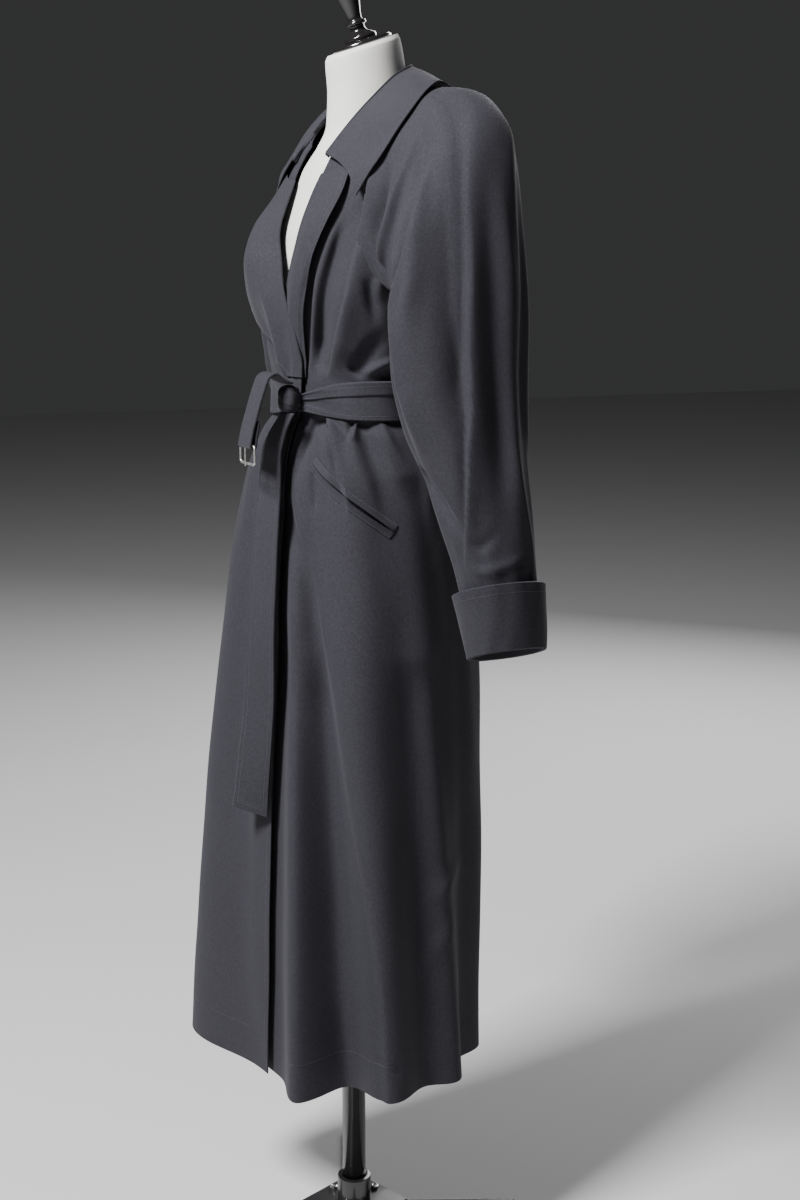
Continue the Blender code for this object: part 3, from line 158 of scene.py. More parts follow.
# Creases finer than the solids' folds: ends as angle and height, half width and
# depth in metres (negative goes in), and how much sharper its left flank is.
BODY_CREASES = table("angle height end_angle end_height width depth lean", (
    (-8, 1.144, -6, 1.00, 0.0070, -0.0035, 0.2),
    (2, 1.144, 6, 0.93, 0.0080, 0.0030, 0.0),
    (12, 1.144, 15, 0.97, 0.0070, -0.0035, -0.2),
    (-18, 1.144, -20, 0.96, 0.0080, 0.0030, 0.2),
    (-34, 1.144, -42, 0.98, 0.0080, -0.0035, 0.0),
    (-48, 1.144, -55, 1.02, 0.0070, 0.0030, 0.0),
    (-72, 1.144, -80, 1.00, 0.0080, -0.0035, 0.0),
    (-86, 1.144, -92, 0.97, 0.0090, 0.0030, 0.0),
    (105, 1.144, 108, 0.98, 0.0080, 0.0032, 0.2),
    (115, 1.144, 116, 1.03, 0.0075, -0.0035, 0.0),
    (136, 1.144, 140, 0.99, 0.0080, 0.0030, -0.2),
    (152, 1.144, 154, 1.02, 0.0075, -0.0032, 0.0),
    (175, 1.144, 174, 0.98, 0.0085, 0.0030, 0.2),
    (-174, 1.144, -176, 1.03, 0.0070, -0.0032, 0.0),
    (-150, 1.144, -153, 0.99, 0.0085, 0.0030, 0.0),
    (-138, 1.144, -142, 1.03, 0.0070, -0.0035, 0.0),
    (-112, 1.144, -114, 1.00, 0.0080, 0.0030, 0.0),
    (-100, 1.144, -104, 1.04, 0.0070, -0.0030, 0.0),
    (-4, 1.186, -14, 1.34, 0.0080, -0.0040, 0.2),
    (8, 1.186, 0, 1.30, 0.0070, 0.0032, 0.0),
    (18, 1.186, 14, 1.26, 0.0060, -0.0030, 0.0),
    (-27, 1.186, -40, 1.30, 0.0070, 0.0030, 0.0),
    (-52, 1.186, -64, 1.28, 0.0070, -0.0032, 0.0),
    (-70, 1.186, -78, 1.32, 0.0080, 0.0028, 0.0),
    (-84, 1.186, -90, 1.26, 0.0070, -0.0030, 0.0),
    (104, 1.186, 100, 1.27, 0.0075, -0.0032, 0.0),
    (122, 1.186, 117, 1.33, 0.0085, 0.0030, 0.2),
    (145, 1.186, 142, 1.28, 0.0075, -0.0030, 0.0),
    (170, 1.186, 168, 1.31, 0.0085, 0.0030, 0.0),
    (-169, 1.186, -167, 1.27, 0.0075, -0.0030, 0.0),
    (-145, 1.186, -141, 1.33, 0.0085, 0.0028, -0.2),
    (-121, 1.186, -115, 1.28, 0.0075, -0.0030, 0.0),
    (-100, 1.186, -96, 1.30, 0.0080, 0.0028, 0.0),
    (4, 1.02, 8, 0.35, 0.0150, 0.0022, 0.2),
    (-14, 1.00, -12, 0.40, 0.0180, -0.0028, 0.0),
    (-52, 0.98, -58, 0.33, 0.0200, 0.0030, 0.0),
    (-66, 0.90, -72, 0.38, 0.0180, -0.0030, 0.0),
    (-88, 0.97, -96, 0.31, 0.0200, 0.0028, 0.0),
    (108, 0.95, 120, 0.33, 0.0180, -0.0032, 0.0),
    (126, 1.00, 140, 0.40, 0.0200, 0.0030, 0.2),
    (158, 0.97, 163, 0.34, 0.0180, -0.0028, 0.0),
    (-168, 0.99, -167, 0.38, 0.0200, 0.0028, 0.0),
    (-142, 0.94, -146, 0.33, 0.0190, -0.0030, 0.0),
    (-118, 0.98, -122, 0.40, 0.0180, 0.0028, 0.0),
    (120, 1.46, 128, 1.30, 0.0140, 0.0022, 0.0),
    (140, 1.45, 142, 1.29, 0.0150, 0.0028, 0.0),
    (-122, 1.46, -128, 1.32, 0.0140, 0.0022, 0.0),
    (-146, 1.45, -145, 1.30, 0.0150, 0.0028, 0.0),
))

CREASE_STRENGTH = 1.5
CREASE_UNDER_BELT, CREASE_GROWN = 0.006, 0.014  # how far under the belt creases begin, and over what height
MEAN_RADIUS = 0.145  # of the body, for what is measured along the unrolled cloth

# Slow waves: how many, their turns round the body, their greatest slant, how far
# past the belt they are fully grown, and what their sum is divided by.
WAVES, WAVE_TURNS, WAVE_SLANT, WAVE_GROWN, WAVE_SHARE = 14, (2, 14), 40, 0.03, 3.0

# The shown side's own folds: a line through places (angle, height), top to bottom or
# left to right; half widths on its left or lower side and on its right or upper
# side; how far it stands out (negative goes in); the shares of its length over
# which it fades in and out; and, where one layer overlaps another, how far the
# left or lower side stands out instead.
FOLD_COLUMNS = "line left right depth fade_in fade_out under"
TUCK_STEP = 0.0045  # the width over which one layer passes under another
FOLD_REACH = 2.6  # where a fold has died away, in half widths
PLACES_PER_POINT = 5
BODY_FOLDS = table(FOLD_COLUMNS, (
    (((88, 1.405), (78, 1.378), (71, 1.349), (65.5, 1.292), (59.4, 1.239), (53, 1.192)),
     0.026, 0.055, 0.0100, 0.12, 0.20, -0.0180),
    (((70, 1.400), (63, 1.350), (60, 1.299), (56, 1.251), (52, 1.198)), 0.010, 0.010, -0.0040, 0.30, 0.20),
    (((64, 1.400), (58, 1.360), (50, 1.311), (45, 1.263), (38, 1.200)), 0.009, 0.010, 0.0085, 0.30, 0.20),
    (((50, 1.345), (43, 1.300), (38, 1.255), (33, 1.200)), 0.007, 0.008, -0.0075, 0.40, 0.20),
    (((86, 1.250), (77, 1.224), (69, 1.196)), 0.009, 0.012, -0.0090, 0.50, 0.20),
    (((92, 1.216), (83, 1.207), (74, 1.196)), 0.005, 0.006, 0.0065, 0.30, 0.40),
    (((86, 1.330), (80, 1.306), (82, 1.282)), 0.0040, 0.008, 0.0060, 0.40, 0.50),
    (((76, 1.318), (78, 1.288), (81, 1.255)), 0.007, 0.006, -0.0060, 0.40, 0.50),
    (((94, 1.300), (91, 1.262), (93, 1.228)), 0.006, 0.007, 0.0040, 0.50, 0.40),
    (((49, 1.148), (41, 1.123), (36.5, 1.096), (33, 1.055)), 0.008, 0.008, -0.0135, 0.08, 0.60),
    (((29, 1.148), (24, 1.094), (19, 1.035)), 0.006, 0.006, 0.0040, 0.20, 0.60),
    (((50, 1.150), (58, 1.112), (64, 1.065), (67, 1.020)), 0.011, 0.015, 0.0095, 0.08, 0.60, -0.0085),
    (((54, 1.149), (62, 1.131), (71, 1.110)), 0.004, 0.004, -0.0050, 0.20, 0.50),
    (((72, 1.149), (70, 1.134), (66, 1.112)), 0.008, 0.011, 0.0080, 0.10, 0.50, -0.0075),
    (((74, 1.147), (79, 1.103), (86, 1.055), (90, 1.020), (92, 0.980)), 0.012, 0.010, -0.0140, 0.08, 0.45),
    (((84, 1.148), (88, 1.120), (96, 1.085)), 0.005, 0.006, 0.0045, 0.20, 0.60),
    (((45, 1.080), (47, 1.055), (49, 1.022)), 0.006, 0.006, -0.0040, 0.40, 0.40),
    (((26, 1.045), (33, 1.005), (40, 0.967), (47, 0.910), (50, 0.850)), 0.013, 0.009, -0.0110, 0.30, 0.30),
    (((48, 0.900), (53, 0.800), (59, 0.700), (64, 0.570), (68, 0.404), (70, 0.255)),
     0.044, 0.016, -0.0260, 0.25, 0.01),
    (((44, 0.990), (52, 0.890), (62, 0.735), (72, 0.564), (78, 0.412), (80, 0.255)),
     0.020, 0.040, 0.0095, 0.35, 0.01, 0.0020),
    (((92, 1.080), (95, 0.950), (97, 0.800), (99, 0.600), (101, 0.255)), 0.036, 0.036, -0.0260, 0.20, 0.01),
    (((36, 0.840), (41, 0.710), (44.5, 0.500), (45.5, 0.255)), 0.014, 0.010, 0.0045, 0.40, 0.01),
    (((84, 0.960), (89, 0.840), (93, 0.640), (95, 0.420)), 0.016, 0.020, 0.0040, 0.40, 0.50),
    (((132, 0.560), (115, 0.548), (99, 0.520)), 0.012, 0.016, 0.0045, 0.50, 0.40),
    (((118, 0.500), (106, 0.466), (98, 0.425)), 0.010, 0.014, 0.0040, 0.50, 0.40),
    (((82, 0.325), (85, 0.312), (86, 0.300)), 0.006, 0.006, -0.0025, 0.50, 0.50),
), defaults=(None,))

# How deep a crease may go before it would reach the form.
ROOMS = table("height depth", (
    (0.268, 0.040), (0.780, 0.040), (0.850, 0.012), (1.040, 0.010), (1.130, 0.011), (1.200, 0.004),
    (1.225, 0.002), (1.270, 0.002), (1.340, 0.009), (1.400, 0.014), (1.460, 0.006), (1.515, 0.003),
))

FRONT_EDGES = table("height left right lap", (
    (0.268, -14, 20.0, 0.010),
    (0.600, -14, 22.0, 0.012),
    (0.900, -13, 24.0, 0.012),
    (1.080, -10, 25.5, 0.009),
    (1.165, -4, 30.0, 0.0075),
    (1.200, 3, 31.0, 0.0078),
    (1.253, 10, 26.0, 0.0080),
    (1.290, 16, 20.0, 0.0080),
    (1.334, 24, 9.0, 0.0060),
    (1.362, 29, -1.0, 0.004),
    (1.403, 34, -11.0, 0.003),
    (1.440, 41, -19.0, 0.002),
    (1.482, 51, -36.0, 0.001),
    (1.515, 60, -52.0, 0.000),
))
LAP_STARTS, LAP_FULL = -62.0, -18.0

RAGLANS = table("height front back", (
    (1.300, 97, 97),
    (1.330, 87, 102),
    (1.360, 80, 108),
    (1.420, 75, 117),
    (1.470, 73, 126),
    (1.500, 76, 134),
    (1.515, 84, 146),
))

SLEEVE_RINGS = table("top_x top_z under_x under_z middle_y skew half_depth", (
    (0.108, 1.541, 0.168, 1.294, 0.036, 0.028, 0.074),
    (0.150, 1.538, 0.174, 1.288, 0.040, 0.026, 0.075),
    (0.200, 1.531, 0.183, 1.276, 0.045, 0.022, 0.073),
    (0.244, 1.508, 0.190, 1.262, 0.045, 0.020, 0.070),
    (0.275, 1.464, 0.195, 1.245, 0.039, 0.015, 0.072),
    (0.292, 1.395, 0.199, 1.215, 0.034, 0.012, 0.078),
    (0.299, 1.310, 0.203, 1.170, 0.035, 0.010, 0.081),
    (0.302, 1.220, 0.208, 1.118, 0.041, 0.004, 0.077),
    (0.306, 1.130, 0.216, 1.065, 0.055, 0.000, 0.066),
    (0.311, 1.050, 0.226, 1.010, 0.066, 0.000, 0.057),
    (0.316, 0.985, 0.236, 0.957, 0.075, 0.000, 0.049),
    (0.319, 0.922, 0.243, 0.892, 0.083, 0.000, 0.045),
    (0.320, 0.884, 0.246, 0.856, 0.087, 0.000, 0.045),
))
LAST_RING = len(SLEEVE_RINGS) - 1
CUFF_RING = 10.35
CUFF_FLARE = 0.0065
NECK_ARC = 25.0
SLEEVE_SQUARE = 2.15
RIGHT_ARM_BACK = 0.018
ARM_BACK_FULL = 6.0
SLEEVE_WAVE, SLEEVE_SEED, SLEEVE_SPAN = 0.0005, 11, 0.75
JOIN_ROWS = 10  # rows of points from the raglan seam to the sleeve's first ring
STEER_ROWS = 8.0  # rows over which the sleeve's normals leave the body's
UNDERARM_WIDTH, UNDERARM_SHARE = 26.0, 0.75

SLEEVE_CREASES = table("shoulder wrist width depth first last", (
    (-48, -62, 11, -0.007, 1.0, 6.5),
    (-22, -20, 11, -0.006, 1.5, 8.0),
    (-86, -92, 12, 0.008, 3.0, 6.8),
    (-112, -104, 10, -0.008, 3.5, 8.0),
    (24, 18, 12, 0.005, 4.0, 10.0),
    (52, 48, 11, -0.006, 3.0, 9.5),
    (100, 96, 12, 0.005, 4.0, 9.0),
    (130, 126, 11, -0.007, 3.0, 8.0),
))
# The sleeve's own folds: lines through places (degrees round the sleeve, ring).
SLEEVE_FOLDS = table(FOLD_COLUMNS, (
    (((-48, 1.15), (-72, 1.1), (-91, 0.9), (-106, 0.3), (-112, -1.0)),
     0.015, 0.024, 0.0095, 0.45, 0.10, -0.0090),
    (((-116, 1.1), (-102, 1.5), (-87, 1.7), (-68, 1.5), (-40, 1.2)), 0.011, 0.009, -0.0100, 0.20, 0.60),
    (((-122, 1.7), (-108, 2.1), (-91, 2.6), (-68, 2.5), (-42, 1.9)), 0.008, 0.012, 0.0100, 0.10, 0.50),
    (((-46, 2.2), (-62, 3.2), (-72, 4.0), (-83, 4.7), (-116, 5.5)), 0.012, 0.009, -0.0130, 0.30, 0.20),
    (((-38, 2.1), (-52, 3.0), (-60, 4.2), (-61, 5.4), (-68, 6.1), (-64, 7.3)),
     0.015, 0.013, 0.0100, 0.35, 0.35),
    (((-42, 3.0), (-37, 4.4), (-33, 5.4), (-31, 6.2), (-25, 6.8), (-29, 7.4), (-38, 8.1)),
     0.015, 0.009, -0.0095, 0.30, 0.25),
    (((-18, 3.0), (-14, 5.1), (-14, 6.1), (-18, 7.4), (-29, 8.1), (-48, 9.1), (-78, 10.1)),
     0.012, 0.018, 0.0095, 0.35, 0.25, -0.0050),
    (((-2, 4.2), (7, 6.0), (11, 7.5), (4, 9.0)), 0.013, 0.010, -0.0105, 0.40, 0.40),
    (((12, 4.5), (21, 5.8), (25, 7.2)), 0.009, 0.009, 0.0035, 0.50, 0.50),
    (((-118, 7.8), (-99, 8.3), (-72, 9.0), (-60, 9.5)), 0.010, 0.009, -0.0100, 0.25, 0.50),
    (((-100, 6.2), (-88, 7.0), (-84, 7.9)), 0.010, 0.008, 0.0045, 0.40, 0.50),
    (((-112, 3.0), (-100, 3.7), (-92, 4.2)), 0.008, 0.008, 0.0040, 0.30, 0.60),
    (((-70, 9.9), (-40, 10.1), (0, 10.0), (30, 9.8)), 0.005, 0.007, 0.0035, 0.40, 0.50),
    (((-60, 9.5), (-34, 9.6), (-6, 9.3)), 0.006, 0.006, -0.0030, 0.50, 0.50),
), defaults=(None,))
SLEEVE_ROUND, SLEEVE_RUN = 0.062, 0.072  # a sleeve's mean radius and mean length from ring to ring
# Creases of the sleeve's hidden side: places at each end, half width in degrees.
FINE_SLEEVE_CREASES = table("around ring end_around end_ring width depth", (
    (34, 2.4, 36, 7.0, 9, 0.0022),
    (68, 2.2, 66, 8.4, 9, 0.0026),
    (84, 3.0, 78, 9.2, 8, -0.0025),
    (116, 3.2, 108, 8.6, 8, -0.0030),
    (148, 3.4, 136, 8.2, 9, 0.0026),
    (60, 7.6, 88, 10.2, 8, -0.0024),
    (20, 8.0, 46, 10.2, 8, 0.0020),
    (160, 7.4, 172, 10.2, 9, -0.0024),
))

LAPELS = table("height left_edge right_edge left_lift right_lift", (
    (1.192, 34.0, 14.0, 0.0008, 0.0010),
    (1.225, 35.0, -6.0, 0.0040, 0.0030),
    (1.253, 36.5, -24.0, 0.0070, 0.0080),
    (1.300, 42.0, -42.0, 0.0100, 0.0190),
    (1.345, 49.0, -50.0, 0.0125, 0.0270),
    (1.385, 57.0, -57.0, 0.0125, 0.0220),
    (1.430, 66.0, -65.0, 0.0080, 0.0080),
    (1.456, 69.0, -68.0, 0.0030, 0.0030),
))

COLLAR = table("share seam_angle seam_height fold edge", (
    (0.00, 50, 1.480, (0.0600, -0.0530, 1.4620), (0.1430, -0.0500, 1.4060)),
    (0.18, 66, 1.515, (0.0640, -0.0310, 1.4900), (0.1620, -0.0290, 1.4450)),
    (0.40, 90, 1.515, (0.0650, 0.0060, 1.5290), (0.1690, 0.0060, 1.4980)),
    (0.62, 122, 1.515, (0.0570, 0.0440, 1.5600), (0.1460, 0.0600, 1.5400)),
    (0.82, 150, 1.515, (0.0340, 0.0720, 1.5720), (0.0840, 0.1060, 1.5360)),
    (1.00, 180, 1.515, (0.0000, 0.0820, 1.5750), (0.0000, 0.1270, 1.5180)),
))
COLLAR_COLUMNS = 12
STAND_SHARES = (0.45, 0.55)  # the row between the seam and the fold: parts of each
FALL_SHARES = (0.36, 0.70)  # the two rows between the fold and the outer edge
LAY_WAY = (0.8, 0.75)  # the collar is lifted off the coat outwards and upwards
FRONT_FROM, FRONT_SPAN = 0.80, 0.20  # the part of the left half that FRONT_LIFT lifts
LIFTED_ROWS = ((5, 0.4), (6, 0.9), (7, 1.0))
COLLAR_STOPS, COLLAR_STEPS, COLLAR_LENGTH = (0, 2, 4, 7), (8, 12, 29), 150  # finer rows, and points along
LAPEL_RISE = 0.6  # the share of a lapel's width over which it lifts
ROLL_PAST = 0.0012
ROLL_STEPS = 8
FOLD_RADIUS = 0.0030
COLLAR_SEAM = 0.0022
COLLAR_BOW = 0.0045
CLEAR_REACH = 0.12
COLLAR_LAY = 0.0036
FRONT_LIFT = 0.0065

POCKET_LINE = table("share angle height", ((0.0, 44.5, 1.089), (0.5, 67.0, 1.046), (1.0, 88.0, 1.006)))
WELT_WIDTH = 0.009
WELT_PARTING = 0.0016
MOUTH_OPEN = 0.0022
WELT_LAY = 0.0004
WELT_CLOTH = 0.0014
MOUTH_LIFT = 0.0058
LOWER_LIP = 0.3  # how much of the upper welt's lift the lower one has
MOUTH_STEPS, WELT_ROWS = 60, 9

ENDS_AZIMUTH = 68.0
ALONG = np.array([math.cos(math.radians(ENDS_AZIMUTH)), math.sin(math.radians(ENDS_AZIMUTH)), 0.0])
OUT = np.array([math.sin(math.radians(ENDS_AZIMUTH)), -math.cos(math.radians(ENDS_AZIMUTH)), 0.0])
UP = np.array([0.0, 0.0, 1.0])
KNOT_ANGLE = 28.0
KNOT_SIZE = (0.026, 0.022, 0.0344)
KNOT_SQUARE = 3.0
BELT_PINCH = (0.72, 0.50)  # how much narrower the belt's upper and lower halves are at the knot
BELT_FOLD = 0.0022
PINCH_REACH, FOLD_AWAY, FOLD_AROUND = 26.0, 34, 52.0  # degrees round the body, from the knot
STRAP_CROWN = 0.0004

TAIL = table("height along out facing", (
    (1.1475, -0.0780, 0.0900, 0.50),
    (1.120, -0.0920, 0.0830, 0.52),
    (1.095, -0.0990, 0.0820, 0.54),
    (1.066, -0.1000, 0.0850, 0.58),
    (0.965, -0.1090, 0.0940, 0.66),
    (0.790, -0.1180, 0.1000, 0.82),
    (0.634, -0.1320, 0.1010, 0.96),
))
TAIL_GATHERED, TAIL_GROWN = 0.7, 0.05  # its width at the knot, and how far below it is at full width
TAIL_SLANT, SLANT_REACH = 0.012, 0.03
TAIL_WAVE, TAIL_LENGTH = 0.0012, 0.52

SHORT_END = table("along height", (
    (0.0130, 1.1857),
    (0.0030, 1.1898),
    (-0.0085, 1.1975),
    (-0.0165, 1.1940),
    (-0.0240, 1.1780),
    (-0.0325, 1.1520),
    (-0.0400, 1.1270),
    (-0.0435, 1.1110),
))
SHORT_FACING = -24.0
SHORT_WIDTH = 0.040
SHORT_ROOT = np.array([0.0500, -0.1180, 0.0])
TIP_LENGTH, TIP_LEAN = 0.030, 0.55
BUCKLE_WIRE = 0.0016
BUCKLE_LENGTH = 0.023
BUCKLE_SIDE = 0.0030
BUCKLE_CORNER = 0.004
PRONG_WIRE = 0.0011
PRONG_ROOM = 0.0004
PRONG_PAST = 0.0020
BAR_ROOM = 0.0005

FORM_RINGS = table("height half_width front back fall square", (
    (0.8150, 0.100, 0.055, 0.065, 0.000, 2.0),
    (0.8200, 0.135, 0.072, 0.088, 0.000, 2.1),
    (0.8400, 0.150, 0.080, 0.102, 0.000, 2.2),
    (0.9400, 0.156, 0.086, 0.112, 0.000, 2.2),
    (1.0400, 0.138, 0.082, 0.100, 0.000, 2.1),
    (1.1100, 0.114, 0.074, 0.078, 0.000, 2.0),
    (1.1650, 0.106, 0.070, 0.070, 0.000, 2.0),
    (1.2200, 0.112, 0.075, 0.076, 0.000, 2.0),
    (1.3000, 0.134, 0.088, 0.094, 0.000, 2.0),
    (1.3600, 0.142, 0.083, 0.108, 0.002, 2.0),
    (1.4100, 0.146, 0.069, 0.114, 0.009, 2.1),
    (1.4400, 0.134, 0.060, 0.112, 0.015, 2.1),
    (1.4650, 0.108, 0.0535, 0.1060, 0.021, 2.0),
    (1.4850, 0.082, 0.0470, 0.0980, 0.027, 2.0),
    (1.5020, 0.060, 0.0385, 0.0860, 0.029, 2.0),
    (1.5250, 0.0505, 0.0265, 0.0800, 0.025, 2.0),
    (1.5600, 0.0480, 0.0245, 0.0740, 0.018, 2.0),
    (1.5940, 0.0470, 0.0270, 0.0670, 0.0160, 2.0),
    (1.6005, 0.0440, 0.0240, 0.0640, 0.0150, 2.0),
))

FORM_STOPS, FORM_STEPS, FORM_COLUMNS = (0.815, 0.84, 1.594, 1.6005), (13, 119, 7), 104

# The camera: where it stands, which way it looks and its focal length in pixels
# of the 1200 high photograph.
CAMERA_PLACE = (2.0398, -0.8241, 1.32)
CAMERA_TURN, CAMERA_PITCH = 66.30, -11.0
FOCAL_PIXELS = 1684.0
PHOTO_HEIGHT = 1200.0

# The main light, nearer to the front, and the wide one that fills the back: where each
# stands, what it is aimed at, and its size.
KEY_PLACE, KEY_AIM, KEY_SIZE = (0.78, -2.20, 3.50), (0.0, 0.0, 1.05), 0.8
FILL_PLACE, FILL_AIM, FILL_SIZE = (-2.3, 2.5, 2.3), (0.0, 0.0, 1.0), 2.2
FLOOR_REACH, FLOOR_LEVEL = 14.0, -0.0002


# ---------------------------------------------------------------------------
# Tables and curves
# ---------------------------------------------------------------------------
def smooth_curve(stations, values, where):
    """Values at where, on a smooth curve through the stations that never overshoots."""
    x, y = np.asarray(stations, float), np.asarray(values, float)
    step = np.diff(x)
    slope = np.diff(y) / step
    tangent = np.zeros_like(y)
    tangent[0], tangent[-1] = slope[0], slope[-1]
    for i in range(1, len(x) - 1):
        if slope[i - 1] * slope[i] > 0:
            near, far = 2 * step[i] + step[i - 1], step[i] + 2 * step[i - 1]
            tangent[i] = (near + far) / (near / slope[i - 1] + far / slope[i])
    where = np.clip(np.asarray(where, float), x[0], x[-1])
    i = np.clip(np.searchsorted(x, where, side="right") - 1, 0, len(step) - 1)
    t = (where - x[i]) / step[i]
    rise = (1 + 2 * t) * (1 - t) ** 2 * y[i] + t * (1 - t) ** 2 * step[i] * tangent[i]
    return rise + t**2 * (3 - 2 * t) * y[i + 1] + t**2 * (t - 1) * step[i] * tangent[i + 1]


def from_table(table, key, name, where):
    """One named column of a table, read at where along its key column."""
    return smooth_curve([getattr(row, key) for row in table], [getattr(row, name) for row in table], where)


def through(points, where):
    """A rounded line through a stack of points (n, ...), read at places 0 to n - 1."""
    points = np.asarray(points, float)
    last = len(points) - 1
    where = np.clip(np.asarray(where, float), 0, last)
    i = np.clip(where.astype(int), 0, last - 1)
    t = (where - i).reshape((-1,) + (1,) * (points.ndim - 1))
    before, after = points[np.maximum(i - 1, 0)], points[np.minimum(i + 2, last)]
    here, there = points[i], points[i + 1]
    return 0.5 * (2 * here + (there - before) * t + (2 * before - 5 * here + 4 * there - after) * t**2
                  + (3 * here - before - 3 * there + after) * t**3)


def stepped(stops, steps):
    """Even steps from each stop to the next."""
    bands = [np.linspace(low, high, count + 1)[1:] for low, high, count in zip(stops, stops[1:], steps)]
    return np.concatenate([stops[:1], *bands])


def ease(value):
    value = np.clip(value, 0.0, 1.0)
    return value * value * (3 - 2 * value)


def apart(angle, centre):
    return (angle - centre + 180.0) % 360.0 - 180.0


def bump(angle, centre, half_width):
    return np.exp(-((apart(angle, centre) / half_width) ** 2))


def squared_off(value, power):
    return np.sign(value) * np.abs(value) ** power


def unit(vectors):
    return vectors / np.maximum(np.linalg.norm(vectors, axis=-1, keepdims=True), 1e-12)


# ---------------------------------------------------------------------------
# The coat's surface
# ---------------------------------------------------------------------------
def sine_cosine(angle):
    return np.sin(np.radians(angle)), np.cos(np.radians(angle))


def past_belt(height):
    """How far a height is past the belt's upper or lower edge."""
    return np.abs(height - WAIST_HEIGHT) - BELT_WIDTH / 2


def ring_radius(rings, angle, height):
    half_width, front, back, square = (
        from_table(rings, "height", name, height) for name in ("half_width", "front", "back", "square")
    )
    sine, cosine = sine_cosine(angle)
    depth = np.where(cosine > 0, front, back)
    return ((np.abs(sine) / half_width) ** square + (np.abs(cosine) / depth) ** square) ** (-1 / square)


def ring_point(rings, angle, height, radius):
    sine, cosine = sine_cosine(angle)
    drop, rise = (from_table(rings, "height", name, height) for name in ("drop", "rise"))
    level = height - np.where(cosine > 0, drop, rise) * cosine
    return np.stack([radius * sine, -radius * cosine, level], axis=-1)


def skirt_folds(angle, height):
    total = np.zeros_like(angle)
    for fold in SKIRT_FOLDS:
        down = np.clip((fold.top - height) / (fold.top - HEM_HEIGHT), 0, 1)
        centre = fold.waist_angle + (fold.hem_angle - fold.waist_angle) * down**0.8
        width = fold.waist_width + (fold.hem_width - fold.waist_width) * down
        total += fold.depth * down**fold.growth * bump(angle, centre, width)
    return total


def gathers(angle, height):
    total = np.zeros_like(angle)
    grown = ease(past_belt(height) / GATHER_REACH)
    for gather in GATHERS:
        share = (height - WAIST_HEIGHT) / (gather.end - WAIST_HEIGHT)
        centre = gather.belt_angle + (gather.end_angle - gather.belt_angle) * np.clip(share, 0, 1)
        fade = np.where(share > 0, ease(1 - share) * grown, 0.0)
        total += gather.depth * fade * bump(angle, centre, gather.width)
    return total


def crease_profile(across, width, lean):
    """A soft ridge, 1 in its middle, with a steeper left flank where lean is above 0."""
    side = np.where(across > 0, 1 + 0.5 * lean, 1 - 0.5 * lean)
    return np.exp(-((across / (width * side)) ** 2))


def body_creases(angle, height, radius):
    """The fine creases, each along its own line over the unrolled cloth."""
    total = np.zeros_like(angle)
    clear = ease((past_belt(height) + CREASE_UNDER_BELT) / CREASE_GROWN)
    for crease in BODY_CREASES:
        run = crease.end_height - crease.height
        along = np.clip((height - crease.height) / run, 0, 1)
        centre = crease.angle + (crease.end_angle - crease.angle) * along
        across = np.radians(apart(angle, centre)) * radius
        strength = np.sin(math.pi * along**0.6) ** 0.8 * ((along > 0) & (along < 1))
        width = crease.width * (0.8 + 0.7 * along)
        total += CREASE_STRENGTH * crease.depth * strength * crease_profile(across, width, crease.lean)
    total += fold_height(BODY_FOLDS, angle, height, MEAN_RADIUS, 1.0)
    room = from_table(ROOMS, "height", "depth", height)
    return np.where(total < 0, room * np.tanh(total / room), total) * clear


def fold_height(folds, turn, level, radius, run):
    """How far folds stand out at places, degrees round and a level up or down."""
    total = np.zeros_like(turn)
    for fold in folds:
        places = through(fold.line, np.linspace(0, len(fold.line) - 1, PLACES_PER_POINT * len(fold.line)))
        line = (places - places[0]) * (math.radians(radius), run)
        x, y = np.radians(apart(turn, places[0, 0])) * radius, (level - places[0, 1]) * run
        reach = FOLD_REACH * max(fold.left, fold.right)
        low, high = line.min(axis=0) - reach, line.max(axis=0) + reach
        near = (x > low[0]) & (x < high[0]) & (y > low[1]) & (y < high[1])
        if not near.any():
            continue
        step = np.diff(line, axis=0)
        away = np.stack([x[near], y[near]], axis=1)[:, None] - line[:-1]
        share = np.clip((away * step).sum(axis=-1) / (step**2).sum(axis=-1), 0, 1)
        off = np.linalg.norm(away - share[..., None] * step, axis=-1)
        best = off.argmin(axis=1)
        row = np.arange(len(best))
        side = step[best, 0] * away[row, best, 1] - step[best, 1] * away[row, best, 0]
        width = np.where(side > 0, fold.right, fold.left)
        along = (best + share[row, best]) / len(step)
        fade = ease(along / fold.fade_in) * ease((1 - along) / fold.fade_out)
        under = fold.depth if fold.under is None else fold.under
        over = ease(0.5 + np.sign(side) * off[row, best] / TUCK_STEP)
        height = fold.depth * over + under * (1 - over)
        total[near] += height * fade * np.exp(-((off[row, best] / width) ** 2))
    return total


def waviness(angle, height, size=0.0006, seed=7):
    """Slow uneven waves, so that no stretch of cloth is perfectly smooth."""
    chance = np.random.default_rng(seed)
    total = np.zeros_like(angle)
    for _ in range(WAVES):
        turns, rise = chance.integers(*WAVE_TURNS), chance.uniform(-WAVE_SLANT, WAVE_SLANT)
        total += np.sin(np.radians(angle) * turns + height * rise + chance.uniform(0, 2 * math.pi))
    return size * total / WAVE_SHARE * ease(past_belt(height) / WAVE_GROWN)


def lap_lift(angle, height):
    lap = from_table(FRONT_EDGES, "height", "lap", height)
    return lap * ease((angle - LAP_STARTS) / (LAP_FULL - LAP_STARTS))


def coat_point(angle, height, lift=0.0, right_front=False):
    """A point of the coat's outer face, moved out by lift."""
    angle, height = np.broadcast_arrays(np.asarray(angle, float), np.asarray(height, float))
    plain = ring_radius(COAT_RINGS, angle, height) + skirt_folds(angle, height) + gathers(angle, height)
    radius = plain + body_creases(angle, height, plain) + waviness(angle, height) + lift
    if right_front:
        radius = radius + lap_lift(angle, height)
    return ring_point(COAT_RINGS, angle, height, radius)


